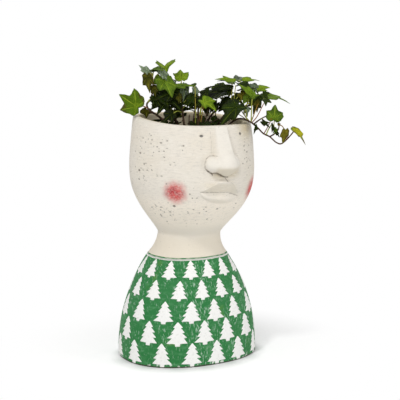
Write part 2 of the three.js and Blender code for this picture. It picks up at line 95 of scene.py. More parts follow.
# several grids in one mesh: each part is (points, faces)
def joinParts(parts):
    points, faces, start = [], [], 0
    for partPoints, partFaces in parts:
        points.append(partPoints)
        faces += [[corner + start for corner in face] for face in partFaces]
        start += len(partPoints)
    return np.vstack(points), faces


# a mesh becomes a smooth-shaded piece that rides on a body
def placePiece(name, mesh, finish, body, replaces=(), crease=None):
    mesh.shade_smooth()
    if crease:
        mesh.set_sharp_from_angle(angle=math.radians(crease))
    mesh.materials.append(finish.material)
    piece = bpy.data.objects.new(name, mesh)
    bpy.context.scene.collection.objects.link(piece)
    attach(piece, body)
    if replaces:
        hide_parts(*replaces)


# the same from points in millimetres, with layers of values for the finish
def makePiece(name, points, faces, finish, body, replaces=(), layers=None, crease=None):
    mesh = bpy.data.meshes.new(name)
    mesh.from_pydata((points * mm).tolist(), [], faces)
    for layer, values in (layers or {}).items():
        mesh.attributes.new(layer, "FLOAT", "POINT").data.foreach_set("value", values.astype(np.float32))
    placePiece(name, mesh, finish, body, replaces, crease)


# shader maths: a socket to reckon with, where each operator adds a Math node

class Wire:
    def __init__(self, nodes, socket):
        self.nodes = nodes
        self.socket = socket

    def reckon(self, operation, first, second):
        return self.nodes.node("ShaderNodeMath", {"operation": operation}, {0: first, 1: second})

    def __add__(self, other):
        return self.reckon("ADD", self, other)

    def __sub__(self, other):
        return self.reckon("SUBTRACT", self, other)

    def __rsub__(self, other):
        return self.reckon("SUBTRACT", other, self)

    def __mul__(self, other):
        return self.reckon("MULTIPLY", self, other)

    def larger(self, other):
        return self.reckon("MAXIMUM", self, other)

    # 0 below one value, 1 above another, eased between them; fall is the other way round
    def rise(self, low, high):
        values = {"Value": self, "From Min": low, "From Max": high}
        return self.nodes.node("ShaderNodeMapRange", {"interpolation_type": "SMOOTHSTEP"}, values)

    def fall(self, low, high):
        return 1 - self.rise(low, high)

    # a least amount, and what is added where the wire is 1
    def spread(self, least, extra):
        return self * extra + least

    # a value about one half becomes a shift to either side
    def sway(self, size):
        return (self - 0.5) * size

    __radd__ = __add__
    __rmul__ = __mul__


class Nodes:
    def __init__(self, tree):
        self.tree = tree

    # any node: its type, its settings, then the values or wires of its sockets
    def node(self, kind, settings=None, values=None, out=0):
        made = self.tree.nodes.new(kind)
        for key, value in (settings or {}).items():
            setattr(made, key, value)
        for key, value in (values or {}).items():
            self.join(value, made.inputs[key])
        return Wire(self, made.outputs[out])

    def join(self, value, socket):
        if isinstance(value, Wire):
            self.tree.links.new(value.socket, socket)
        else:
            socket.default_value = value

    def length(self, vector):
        return self.node("ShaderNodeVectorMath", {"operation": "LENGTH"}, {0: vector}, "Value")

    # 1 for rays from the camera, from mirrors and through glass, which show the background
    def seenRays(self):
        kinds = ("Is Camera Ray", "Is Glossy Ray", "Is Transmission Ray")
        camera, mirror, glass = (self.node("ShaderNodeLightPath", out=kind) for kind in kinds)
        return camera.larger(mirror).larger(glass)


class Finish(Nodes):
    def __init__(self, name, roughness, gloss):
        self.material = bpy.data.materials.new(name)
        self.material.use_nodes = True
        super().__init__(self.material.node_tree)
        self.shader = self.tree.nodes["Principled BSDF"]
        self.put("Roughness", roughness)
        self.put("Specular IOR Level", gloss)
        self.place = self.node("ShaderNodeTexCoord", out="Object")

    def put(self, name, value):
        self.join(value, self.shader.inputs[name])

    def stretched(self, scale, vector=None, turn=(0, 0, 0)):
        values = {"Vector": vector or self.place, "Scale": scale, "Rotation": turn}
        return self.node("ShaderNodeMapping", None, values)

    def noise(self, scale, detail, roughness=0.5, vector=None, out=0):
        values = {"Vector": vector or self.place, "Scale": scale, "Detail": detail, "Roughness": roughness}
        return self.node("ShaderNodeTexNoise", None, values, out)

    # noise as a mask: its scale and detail, where it starts and is full, and its share there
    def patches(self, scale, detail, start, full, share=1.0):
        return self.noise(scale, detail).rise(start, full) * share

    def cells(self, scale, feature="F1", out="Distance", vector=None):
        values = {"Vector": vector or self.place, "Scale": scale}
        return self.node("ShaderNodeTexVoronoi", {"feature": feature}, values, out)

    def layer(self, name):
        return self.node("ShaderNodeAttribute", {"attribute_name": name}, None, "Fac")

    def along(self, axis):
        return self.node("ShaderNodeSeparateXYZ", None, {0: self.place}, axis)

    # distance in metres from a point given in millimetres
    def distanceFrom(self, point):
        values = {0: self.place, 1: tuple(np.asarray(point) * mm)}
        return self.node("ShaderNodeVectorMath", {"operation": "DISTANCE"}, values, "Value")

    def blend(self, first, second, share):
        return self.node("ShaderNodeMix", {"data_type": "RGBA"}, {0: share, 6: first, 7: second}, 2)

    def bump(self, height, depth, strength):
        values = {"Height": height, "Distance": depth, "Strength": strength}
        self.put("Normal", self.node("ShaderNodeBump", None, values))


def paint(red, green, blue):
    return (red, green, blue, 1.0)


# camera at the photograph's viewing angle, and a plain pale studio, in metres and degrees

studio = {
    "turn": 29, "distance": 1.3, "height": 0.378, "swing": 0.723, "tilt": 8, "lens": 93.42, "sensor": 36,
    "lamps": {
        "key_lamp": {"place": (-1.4, -1.7, 1.15), "size": 1.1, "power": 12.5},
        "side_lamp": {"place": (-1.68, -0.93, 2.3), "size": 0.36, "power": 23},
        "fill_lamp": {"place": (1.5, -1.7, 0.25), "size": 1.6, "power": 17},
    },
    "aim": (0, 0, 0.19), "roomLight": 0.49, "roomShown": 1.0, "white": paint(1, 1, 1),
    "floorHalf": 6.0, "floorColour": paint(0.86, 0.86, 0.86), "floorGlow": 0.31, "floorFade": (0.12, 0.25),
    "footSize": (0.089, 0.073), "shadeMiddle": (-0.004, -0.010), "footShade": (0.96, 1.17),
}


# a lamp or camera turned to look along a direction
def aimAlong(holder, direction):
    holder.rotation_euler = Vector(direction).to_track_quat("-Z", "Y").to_euler()
    bpy.context.scene.collection.objects.link(holder)


def makeCamera():
    s = studio
    turn, heading, tilt = (math.radians(angle) for angle in (s["turn"], s["turn"] + s["swing"], s["tilt"]))
    lens = bpy.data.cameras.new("photo_camera")
    lens.lens = s["lens"]
    lens.sensor_width = s["sensor"]
    camera = bpy.data.objects.new("photo_camera", lens)
    camera.location = (-s["distance"] * math.sin(turn), -s["distance"] * math.cos(turn), s["height"])
    level = math.cos(tilt)
    aimAlong(camera, (math.sin(heading) * level, math.cos(heading) * level, -math.sin(tilt)))
    bpy.context.scene.camera = camera


def makeLamps():
    for name, spec in studio["lamps"].items():
        lamp = bpy.data.lights.new(name, "AREA")
        lamp.shape = "DISK"
        lamp.size = spec["size"]
        lamp.energy = spec["power"]
        holder = bpy.data.objects.new(name, lamp)
        holder.location = spec["place"]
        aimAlong(holder, Vector(studio["aim"]) - Vector(spec["place"]))


# the room lights the object evenly, and shows as plain white behind it
def makeRoom():
    world = bpy.data.worlds.new("pale_room")
    world.use_nodes = True
    bpy.context.scene.world = world
    room = Nodes(world.node_tree)
    values = {"Value": room.seenRays(), "To Min": studio["roomLight"], "To Max": studio["roomShown"]}
    background = world.node_tree.nodes["Background"]
    room.join(room.node("ShaderNodeMapRange", None, values), background.inputs["Strength"])
    room.join(studio["white"], background.inputs["Color"])


# the floor keeps the shadow close by and glows a little where it is seen; the glow fades out towards the
# foot, which paints a contact shadow round it, and the floor fades to white further out
def floorMaterial():
    material = bpy.data.materials.new("floor_white")
    material.use_nodes = True
    nodes = material.node_tree.nodes
    nodes.remove(nodes["Principled BSDF"])
    made = Nodes(material.node_tree)
    place = made.node("ShaderNodeTexCoord", out="Object")
    (wide, deep), (shadeX, shadeY) = studio["footSize"], studio["shadeMiddle"]
    offset = (-shadeX / wide, -shadeY / deep, 0)
    ways = {"Vector": place, "Scale": (1 / wide, 1 / deep, 1), "Location": offset}
    fromFoot = made.length(made.node("ShaderNodeMapping", None, ways))
    # painted contact shadow: the glow is dimmed in a band round the foot
    shadeStart, shadeEnd = studio["footShade"]
    shade = {"Value": fromFoot, "From Min": shadeStart, "From Max": shadeEnd}
    clear = made.node("ShaderNodeMapRange", None, shade)
    diffuse = made.node("ShaderNodeBsdfDiffuse", None, {"Color": studio["floorColour"]})
    glow = made.node("ShaderNodeEmission", None, {"Color": clear, "Strength": studio["floorGlow"]})
    lit = made.node("ShaderNodeAddShader", None, {0: diffuse, 1: glow})
    fade = made.length(place).rise(*studio["floorFade"])
    white = made.node("ShaderNodeEmission", None, {"Color": studio["white"]})
    faded = made.node("ShaderNodeMixShader", None, {0: fade, 1: lit, 2: white})
    shown = made.node("ShaderNodeMixShader", None, {0: made.seenRays(), 1: diffuse, 2: faded})
    made.join(shown, nodes["Material Output"].inputs["Surface"])
    return material


def makeFloor():
    half = studio["floorHalf"]
    mesh = bpy.data.meshes.new("floor")
    corners = [(-half, -half, 0), (half, -half, 0), (half, half, 0), (-half, half, 0)]
    mesh.from_pydata(corners, [], [(0, 1, 2, 3)])
    mesh.materials.append(floorMaterial())
    floor = bpy.data.objects.new("floor", mesh)
    bpy.context.scene.collection.objects.link(floor)


def makeStudio():
    bpy.context.scene.view_settings.view_transform = "Standard"
    makeCamera()
    makeLamps()
    makeRoom()
    makeFloor()
    print("studio ready")


# the bust: sections of the casting, in millimetres, as the solids have them

bust = {
    "baseHalfWidth": 89, "baseHalfDepth": 73, "baseEdge": 1.2, "collarHeight": 128, "collarHalfWidth": 50.7,
    "collarHalfDepth": 46, "torsoSquareness": 2.25, "headSquareness": 2.0, "shoulderPower": 2.3,
    "neckHeight": 157, "neckRadius": 39.4, "neckFlarePower": 2.2, "cheekHeight": 242, "cheekRadius": 78,
    "chinPower": 1.25, "jawPower": 2.6, "rimHeight": 299.2, "rimRadius": 72.8, "crownPower": 1.6,
    "crownLimit": 1.2, "rimTilt": 5.6, "rimWave": 0.9, "rimWaves": 3, "rimTurn": 15, "rimWaveDepth": 30,
    "lipRound": 3, "headForward": 12.5, "forwardStart": 118, "forwardEnd": 200, "wall": 9, "floor": 12,
    "ledgeHeight": 181, "throatRadius": 28, "drainRadius": 8, "plugSeatRadius": 12.3, "plugSeatDepth": 3.3,
}


# half width, half depth, squareness and forward lean of the outer skin at each height: sizes change by a
# power of the share of the way from foot to collar, to neck, to cheek and to rim
def sectionAt(height):
    b = bust
    height = np.asarray(height, float)
    collar, neck, cheek = b["collarHeight"], b["neckHeight"], b["cheekHeight"]
    forward = b["headForward"] * smooth(between(height, b["forwardStart"], b["forwardEnd"]))
    torsoRise = between(height, 0, collar) ** b["shoulderPower"]
    neckRise = between(height, collar, neck)
    flare = (1 - neckRise) ** b["neckFlarePower"]
    jawRise = 1 - (1 - between(height, neck, cheek) ** b["chinPower"]) ** b["jawPower"]
    jaw = mix(b["neckRadius"], b["cheekRadius"], jawRise)
    crownRise = np.clip((height - cheek) / (b["rimHeight"] - cheek), 0, b["crownLimit"])
    crown = mix(b["cheekRadius"], b["rimRadius"], crownRise ** b["crownPower"])
    stretch = [height < collar, height < neck, height < cheek]
    halves = []
    for way in ("Width", "Depth"):
        foot, top = b["baseHalf" + way], b["collarHalf" + way]
        sizes = [mix(foot, top, torsoRise), mix(b["neckRadius"], top, flare), jaw]
        halves.append(np.select(stretch, sizes, crown))
    boxy, circular = b["torsoSquareness"], b["headSquareness"]
    squares = [np.full_like(height, boxy), mix(boxy, circular, neckRise)]
    return (*halves, np.select(stretch[:2], squares, circular), forward)


# a point of the skin: superellipse radius at the angle from the face, less an inset, plus a relief
def skinPoints(angle, height, inset=0.0, relief=0.0):
    halfWidth, halfDepth, square, forward = sectionAt(height)
    sine = np.abs(np.sin(angle) / (halfWidth - inset)) ** square
    cosine = np.abs(np.cos(angle) / (halfDepth - inset)) ** square
    radius = (sine + cosine) ** (-1 / square) + relief
    follow = smooth(1 - (bust["rimHeight"] - height) / bust["rimWaveDepth"])
    rimAngle = angle - math.radians(bust["rimTurn"])
    lift = bust["rimWave"] * np.cos(bust["rimWaves"] * rimAngle) - bust["rimTilt"] * np.cos(rimAngle)
    x = radius * np.sin(angle)
    y = -radius * np.cos(angle) - forward
    return np.stack(np.broadcast_arrays(x, y, height + follow * lift), -1)


# a round ring inside the casting, on the head's forward lean
def roundPoints(angle, radius, height):
    forward = sectionAt(height)[3]
    ring = [radius * np.sin(angle), -radius * np.cos(angle) - forward, np.full_like(angle, height)]
    return np.stack(ring, -1)[None]


wobble = {"waves": 4, "firstTurns": 2, "length": 34, "lengthStep": 6, "divide": 2}


# slow waves of a hand-cast skin: sines round and up the body with seeded phases
def handWobble(angle, height, size, seed):
    w = wobble
    phases = np.random.default_rng(seed).uniform(0, 2 * np.pi, (w["waves"], 2))
    total = 0.0
    for step, (around, upward) in enumerate(phases):
        turns, length = step + w["firstTurns"], w["length"] - w["lengthStep"] * step
        total = total + np.sin(turns * angle + around) * np.sin(height / length + upward)
    return size * total / w["divide"]


# the face, in millimetres across from its middle, up from the floor or below the rim; pairs are left, right
face = {
    "span": 42, "spanSoft": 4, "noseLean": -3.0, "leanEnd": 50, "bridgeReach": 4.5, "ridgeReach": 14,
    "ridgeFull": 56, "ridgePower": 2.2, "ridgeLeft": 11, "ridgeLeftSoft": 5, "ridgeRight": 10.5,
    "ridgeRightSoft": 3, "ridgeSpread": 0.03, "ridgeEnd": 62, "ridgeEndSoft": 9, "ballReach": 16.5,
    "ballHalfWidth": 14.5, "ballBelow": 49.5, "ballRise": 18, "ballDrop": 16, "undercut": 0.35,
    "undercutStart": 0.3, "undercutEnd": 1.2, "undercutSoft": 0.9, "wingReach": [12.5, 7.5],
    "wingOffset": [14.6, 12.5], "wingHalfWidth": [9.6, 8.5], "wingBelow": 50, "wingHalfHeight": 10.3,
    "noseBlend": 7, "mouthHeight": 215.1, "mouthSlant": 0.045, "mouthDrop": 5.6, "dropStart": 4,
    "dropEnd": 32, "mouthLeft": 30, "mouthRight": 25, "tentLeft": 22, "tentRight": 19, "mouthReach": 0.8,
    "upperHeight": 12.5, "upperReach": 5.4, "upperFade": 4.5, "lowerHeight": 14, "lowerReach": 4.0,
    "lowerPower": 1.5, "cornerSoft": 4, "grooveDepth": 0.8, "grooveHalf": 1.1, "leastEdge": 1e-3,
    "leastDepth": 1e-4, "eyes": [[-28, 285.4], [31, 286.6]], "eyeRadius": 2.1, "eyeStretch": 1.2,
    "eyeDepth": 1.8,
}


# half an egg standing out of the skin: reach times the root of what is left of 1 after the squared offsets
def eggRelief(reach, across, upward):
    return reach * np.sqrt(np.clip(1 - across ** 2 - upward ** 2, 0, 1))


# nose: a flat-topped ridge, a ball and two wings, joined by a soft maximum
def noseRelief(across, below):
    f = face
    lean = across - f["noseLean"] * np.clip(1 - below / f["leanEnd"], 0, 1)
    spread = f["ridgeSpread"] * below
    edges = smooth((lean + f["ridgeLeft"] + spread) / f["ridgeLeftSoft"])
    edges = edges * smooth((f["ridgeRight"] + spread - lean) / f["ridgeRightSoft"])
    growth = between(below, 0, f["ridgeFull"]) ** f["ridgePower"]
    ending = smooth((f["ridgeEnd"] - below) / f["ridgeEndSoft"])
    ridge = mix(f["bridgeReach"], f["ridgeReach"], growth) * edges * ending
    down = (below - f["ballBelow"]) / np.where(below < f["ballBelow"], f["ballRise"], f["ballDrop"])
    ball = eggRelief(f["ballReach"], across / f["ballHalfWidth"], down)
    cut = smooth((f["undercutEnd"] - down) / f["undercutSoft"])
    ball = ball * mix(1, cut, f["undercut"] * smooth(down / f["undercutStart"]))
    wingParts = ("wingReach", "wingOffset", "wingHalfWidth")
    reach, offset, halfWidth = (np.where(across < 0, *f[part]) for part in wingParts)
    upward = (below - f["wingBelow"]) / f["wingHalfHeight"]
    wing = eggRelief(reach, (np.abs(across) - offset) / halfWidth, upward)
    power = f["noseBlend"]
    return (ridge ** power + ball ** power + wing ** power) ** (1 / power)


# height of the mouth: a slanting line that drops in an eased step towards its right end
def mouthLine(across):
    f = face
    drop = f["mouthDrop"] * smooth(between(across, f["dropStart"], f["dropEnd"]))
    return f["mouthHeight"] - f["mouthSlant"] * across - drop


# lips: a tent-shaped plane leaning out to its edge above the mouth, a soft roll below, a groove between
def lipRelief(across, height):
    f = face
    half = np.where(across < 0, f["mouthLeft"], f["mouthRight"])
    side = np.clip(1 - np.abs(across) / half, 0, 1)
    corner = f["cornerSoft"] * side
    up = height - mouthLine(across)
    tent = np.minimum((across + f["mouthLeft"]) / f["tentLeft"], (f["mouthRight"] - across) / f["tentRight"])
    edge = f["upperHeight"] * np.clip(tent, f["leastEdge"], 1)
    upper = mix(f["mouthReach"], f["upperReach"], np.clip(up / edge, 0, 1))
    upper = upper * smooth(1 - (up - edge) / f["upperFade"])
    depth = f["lowerHeight"] * np.sqrt(np.maximum(1 - (1 - side) ** 2, f["leastDepth"]))
    down = np.clip(-up / depth, 0, 1)
    lower = f["mouthReach"] * (1 - smooth(down)) + f["lowerReach"] * np.sin(np.pi * down ** f["lowerPower"])
    groove = f["grooveDepth"] * bell(up / f["grooveHalf"]) * np.clip(corner, 0, 1)
    return np.where(up > 0, smooth(corner) * upper, np.sqrt(side) * lower) - groove


# shortest distance from each (across, height) to a line of points
def lineDistance(across, height, route):
    gaps = []
    for (startX, startY), (endX, endY) in zip(route[:-1], route[1:]):
        runX, runY = endX - startX, endY - startY
        along = (across - startX) * runX + (height - startY) * runY
        share = np.clip(along / (runX ** 2 + runY ** 2), 0, 1)
        gaps.append(np.hypot(across - startX - share * runX, height - startY - share * runY))
    return np.minimum.reduce(gaps)


# pitted stretches of the casting: middle (degrees, height), spread and how dense
pittedPlaces = [
    [-60, 190, 15, 9, 0.42], [-22, 186, 20, 10, 0.27], [-27, 213, 3, 10, 0.42], [-66, 270, 14, 12, 0.32],
    [-80, 244, 10, 18, 0.32], [34, 260, 8, 16, 0.34], [-42, 262, 16, 12, 0.12], [-48, 240, 18, 10, 0.09],
    [22, 198, 12, 7, 0.14], [120, 255, 30, 20, 0.28], [-130, 240, 25, 24, 0.26], [178, 215, 40, 22, 0.30],
    [80, 195, 30, 8, 0.28],
]
# single larger pores: degrees, height, radius, how dark
loosePores = [
    [-47.5, 198.5, 1.6, 1.0], [-65.5, 192, 1.2, 0.9], [-61.5, 189.5, 1.3, 0.8], [-68, 183.5, 1.4, 0.9],
    [-54.5, 186, 1.3, 0.9], [-49.5, 181, 1.1, 0.8], [-62, 173, 1.3, 0.7], [-9.5, 181, 1.2, 1.0],
    [-3.5, 179, 1.2, 0.75], [-21, 174.5, 1.2, 0.75], [-15, 197.5, 1.3, 0.7], [-2, 194, 1.6, 0.75],
    [6, 193.5, 1.1, 0.7], [-76, 192, 1.2, 0.75], [-77.5, 185, 1.0, 0.7], [-37, 178.5, 1.1, 0.65],
    [-35.5, 171.5, 1.1, 0.65], [-42.5, 184, 1.1, 0.6], [-24.5, 190, 1.1, 0.6], [-71, 199, 1.0, 0.65],
    [-90.5, 277.5, 1.1, 0.65], [-80, 278.5, 1.3, 0.7], [-68, 277.5, 1.4, 0.75], [-69, 272.5, 1.4, 0.7],
    [-58, 274.5, 1.6, 0.8], [-52, 277.5, 1.5, 0.75], [-37, 271.5, 1.4, 0.8], [-83, 260.5, 1.6, 0.85],
    [-92.5, 261.5, 1.2, 0.7], [-72, 267.5, 1.1, 0.65], [-76.5, 248, 1.3, 0.75], [-84, 239.5, 1.6, 0.95],
    [-78, 240.5, 1.2, 0.7], [-61.5, 235, 1.3, 0.65], [-57, 235, 1.4, 0.7], [-85, 228.5, 1.4, 0.9],
    [-74.5, 227.5, 1.1, 0.65], [-102.5, 223.5, 1.2, 0.7], [-48.5, 249, 1.3, 0.7], [-53, 242.5, 1.0, 0.6],
    [-52.5, 226, 1.2, 0.7], [26, 268.5, 1.3, 0.75], [30.5, 261, 1.3, 0.8], [29.5, 249, 1.1, 0.75],
    [36, 268.5, 1.1, 0.75], [30, 233, 1.1, 0.65], [29, 277.5, 1.0, 0.65], [95, 262, 1.3, 0.9],
    [130, 236, 1.2, 0.8], [160, 210, 1.4, 0.9], [-120, 258, 1.3, 0.8], [-150, 228, 1.2, 0.8],
    [-170, 262, 1.0, 0.8], [-100, 205, 1.1, 0.8], [70, 200, 1.1, 0.8],
]
# lines of grime on the face (drip, spot, speck) and of painted shade in the creases of the nostril, the
# wing, the bridge's left edge and the mouth: half width, strength, route of (across, height)
grimeAndShadeRoutes = {
    "nostril": [0.9, 1.0, [[-23, 243.5], [-20, 240.6], [-17, 239.3], [-13, 239.8], [-9, 238.3], [-5, 235.6],
                           [-1, 234.2], [5, 233.8]]],
    "drip": [0.7, 0.9, [[1, 234], [2.4, 231], [2.8, 228.4]]],
    "spot": [0.8, 0.9, [[-17, 239.3], [-15, 236.8]]],
    "speck": [0.9, 0.7, [[9.5, 236], [10.8, 237]]],
    "wingTop": [0.7, 0.62, [[-24, 244], [-24.6, 250], [-22.8, 256], [-18, 259.8], [-11, 259.5]]],
    "cheekLine": [0.6, 0.45, [[-16.5, 292], [-15.8, 276], [-16.4, 262]]],
    "mouth": [1.0, 0.54, [[place, mouthLine(place)] for place in range(-29, 28, 4)]],
}
head = {
    "faceStep": 0.5, "backStep": 1.0, "rowEnds": [195, 262], "rowSteps": [1.6, 0.7, 1.0], "lipRows": 7,
    "acrossLimit": 0.9, "wobble": 0.45, "wobbleSeed": 3, "wobbleStart": 12, "poreRadius": 72,
    "poreStretch": 1.5, "markEdge": 1.5, "poreDepth": 0.6, "cupStep": 4.0, "cupEnd": 3, "innerWobble": 0.3,
    "innerSeed": 5, "throatRows": [165, 148], "noseLighterReach": 5,
    "rainAngle": 33, "rainSpread": 11, "rainHeight": 297, "rainFall": 19,
    "noseShade": {"low": 229, "lowSoft": 8, "below": 50, "belowSoft": 6, "middle": 3, "half": 24,
                  "share": 0.55},
    "lipShade": {"lowSoft": 2, "top": 13, "topSoft": 4, "middle": -3, "half": 26, "share": 0.28},
    "shadeSoft": 12,
}


# the shorter way round to an angle from one in degrees, in radians to either side
def angleGap(angle, degrees):
    return (angle - math.radians(degrees) + np.pi) % (2 * np.pi) - np.pi


# layers of marks on the outer skin, 0 to 1: single pores, pitted stretches, eyes, and grime with painted
# crease shade
def headMarks(angle, height, across, onFace):
    pores, pitted, eyes, grimeAndCreaseShade = [], [], [], []
    for middle, level, radius, dark in loosePores:
        around = angleGap(angle, middle) * head["poreRadius"] / head["poreStretch"]
        pores.append(dark * smooth(head["markEdge"] - np.hypot(around, height - level) / radius))
    for middle, level, spreadAround, spreadUp, dense in pittedPlaces:
        away = np.hypot(np.degrees(angleGap(angle, middle)) / spreadAround, (height - level) / spreadUp)
        pitted.append(dense * np.exp(-0.5 * away ** 2))
    for place, level in face["eyes"]:
        away = np.hypot((across - place) / face["eyeStretch"], height - level)
        eyes.append(onFace * smooth(head["markEdge"] - away / face["eyeRadius"]))
    for width, strength, route in grimeAndShadeRoutes.values():
        grimeAndCreaseShade.append(onFace * strength * bell(lineDistance(across, height, route) / width))
    layers = {"pore": pores, "pitted": pitted, "eye": eyes, "grimeAndCreaseShade": grimeAndCreaseShade}
    return {name: np.maximum.reduce(marks) for name, marks in layers.items()}


# layers on the face: lighter where the nose stands out, a stain below the right brow, and painted shade
# under the nose and on the upper lip in the stain's tint
def headWear(angle, height, across, onFace, nose):
    h, under, lip = head, head["noseShade"], head["lipShade"]

    def sideways(shade):
        return shade["share"] * smooth((shade["half"] - np.abs(across - shade["middle"])) / h["shadeSoft"])

    rain = bell((np.degrees(angle) - h["rainAngle"]) / h["rainSpread"])
    rain = rain * bell((height - h["rainHeight"]) / h["rainFall"])
    # painted shade on the nose's underside and below it, with a warm tint
    underNose = smooth((bust["rimHeight"] - height - under["below"]) / under["belowSoft"]) * sideways(under)
    underNose = underNose * smooth((height - under["low"]) / under["lowSoft"])
    up = height - mouthLine(across)
    # painted shade on the upper lip, which faces down
    upperLip = smooth(up / lip["lowSoft"]) * smooth((lip["top"] - up) / lip["topSoft"]) * sideways(lip)
    stainAndShade = np.maximum(rain, onFace * np.maximum(underNose, upperLip))
    return {"noseLighter": onFace * smooth(nose / h["noseLighterReach"]), "stainAndShade": stainAndShade}


# head and neck: rows climb the outer skin, turn over the lip and go down inside to the throat
def makeHead(finish):
    b, h, span = bust, head, face["span"]
    faceDegrees = np.arange(-span, span, h["faceStep"])
    degrees = np.concatenate([faceDegrees, np.arange(span, 360 - span, h["backStep"])])
    angle = np.radians((degrees + 180) % 360 - 180)[None]
    lipTop = b["rimHeight"] - b["lipRound"]
    starts, ends = [b["collarHeight"], *h["rowEnds"]], [*h["rowEnds"], lipTop]
    rows = np.concatenate([np.arange(*stretch) for stretch in zip(starts, ends, h["rowSteps"])])
    turn = np.radians(np.linspace(0, 90, h["lipRows"]))
    lipRise, lipInset = lipTop + b["lipRound"] * np.sin(turn), b["lipRound"] * (1 - np.cos(turn))
    height = np.concatenate([rows, lipRise])[:, None]
    inset = np.concatenate([np.zeros(len(rows)), lipInset])[:, None]
    across = np.clip(angle, -h["acrossLimit"], h["acrossLimit"]) * b["cheekRadius"]
    onFace = smooth((span - np.abs(np.degrees(angle))) / face["spanSoft"])
    nose = noseRelief(across, b["rimHeight"] - height)
    calm = smooth((height - b["collarHeight"]) / h["wobbleStart"])
    relief = onFace * (nose + lipRelief(across, height))
    relief = relief + calm * handWobble(angle, height, h["wobble"], h["wobbleSeed"])
    marks = headMarks(angle, height, across, onFace)
    relief = relief - h["poreDepth"] * marks["pore"] - face["eyeDepth"] * marks["eye"]
    outer = skinPoints(angle, height, inset, relief)

    cupRows = np.arange(lipTop - b["lipRound"], b["ledgeHeight"] + h["cupEnd"], -h["cupStep"])
    innerHeight = np.concatenate([lipRise[::-1], cupRows, [b["ledgeHeight"]]])[:, None]
    slope = sectionAt(cupRows + 0.5)[0] - sectionAt(cupRows - 0.5)[0]
    cupInset = b["wall"] * np.hypot(1, np.append(slope, slope[-1]))
    innerInset = np.concatenate([b["wall"] - lipInset[::-1], cupInset])[:, None]
    innerWobble = handWobble(angle, innerHeight, h["innerWobble"], h["innerSeed"])
    inner = skinPoints(angle, innerHeight, innerInset, innerWobble)
    throatRows = [b["ledgeHeight"], *h["throatRows"], b["collarHeight"]]
    throat = [roundPoints(angle[0], b["throatRadius"], level) for level in throatRows]
    grid = np.concatenate([outer, inner, *throat])

    # inside the cup and the throat the marks are 0
    layers = {"inside": np.repeat(np.arange(len(grid)) >= len(outer), angle.size)}
    for name, values in {**marks, **headWear(angle, height, across, onFace, nose)}.items():
        layers[name] = np.concatenate([values, np.zeros((len(grid) - len(outer), angle.size))]).ravel()
    faces = gridQuads(len(grid), angle.size, looped=True).tolist()
    makePiece("cement_head", grid.reshape(-1, 3), faces, finish, "pot", ["cement_pot"], layers)
    print("head made:", len(faces), "faces")


torsoShape = {
    "angleStep": 1.25, "rowStep": 2.0, "rowPast": 0.1, "edgeTurns": [0, 18, 36, 54, 72], "hollowTop": 112,
    "hollowStep": 20.0, "hollowWall": 10.8, "calmFoot": 15, "calmCollar": 12, "wobble": 0.35,
    "wobbleSeed": 9,
}


# the torso's own slow waves, calm at the foot and at the collar
def torsoRelief(angle, height):
    t = torsoShape
    settle = smooth(height / t["calmFoot"]) * smooth((bust["collarHeight"] - height) / t["calmCollar"])
    return settle * handWobble(angle, height, t["wobble"], t["wobbleSeed"])


# torso: up the painted outside, across the joint face, down the hollow and out at the drain
def makeTorso(finish):
    b, t = bust, torsoShape
    angle = np.radians(np.arange(0, 360, t["angleStep"]))
    turn = np.radians(t["edgeTurns"])
    rows = np.arange(b["baseEdge"], b["collarHeight"] + t["rowPast"], t["rowStep"])
    height = np.concatenate([b["baseEdge"] * (1 - np.cos(turn)), rows])[:, None]
    inset = np.concatenate([b["baseEdge"] * (1 - np.sin(turn)), np.zeros(len(rows))])[:, None]
    outer = skinPoints(angle[None], height, inset, torsoRelief(angle[None], height))
    hollowRows = np.append(np.arange(t["hollowTop"], b["floor"], -t["hollowStep"]), b["floor"])[:, None]
    hollow = skinPoints(angle[None], hollowRows, t["hollowWall"])
    joint = roundPoints(angle, b["throatRadius"], b["collarHeight"])
    drain = [roundPoints(angle, b["drainRadius"], level) for level in (b["floor"], b["plugSeatDepth"])]
    seat = [roundPoints(angle, b["plugSeatRadius"], level) for level in (b["plugSeatDepth"], 0.0)]
    grid = np.concatenate([outer, joint, hollow, *drain, *seat])
    layers = {"inside": np.repeat(np.arange(len(grid)) >= len(outer), len(angle))}
    faces = gridQuads(len(grid), len(angle), looped=True).tolist()
    makePiece("painted_torso", grid.reshape(-1, 3), faces, finish, "pot", ["cement_pot"], layers)
    print("torso made:", len(faces), "faces")


# fir trees: rows with their first angle, foot, top and width; the outline is a list of
# (share of the height, share of the half width); jitters are spreads of a normal draw
trees = {
    "count": 14,
    "rows": [[1.0, 105, 127.0, 18.4], [-11.8, 80.5, 104, 20.5], [1.0, 53.5, 80.5, 24.0],
             [-11.8, 26.5, 56, 24.5], [1.0, 0.9, 30.5, 24.5]],
    "outline": [[0, 0.21], [0.125, 0.25], [0.15, 0.50], [0.165, 0.90], [0.19, 1.0], [0.375, 0.57],
                [0.39, 0.78], [0.41, 0.85], [0.575, 0.41], [0.59, 0.60], [0.61, 0.66], [0.775, 0.26],
                [0.79, 0.42], [0.81, 0.45], [1.0, 0.03]],
    "shares": [-1.0, -0.96, -0.6, -0.2, 0.2, 0.6, 0.96, 1.0], "rowStep": 0.04, "trunkTop": 0.11,
    "lowest": 0.3, "proud": 0.3, "sunk": -0.1, "back": -0.5, "sag": 0.05, "edgeJitter": 0.06,
    "widthJitter": 0.03, "turnJitter": 0.35, "tallJitter": 0.012, "leanJitter": 0.02,
}


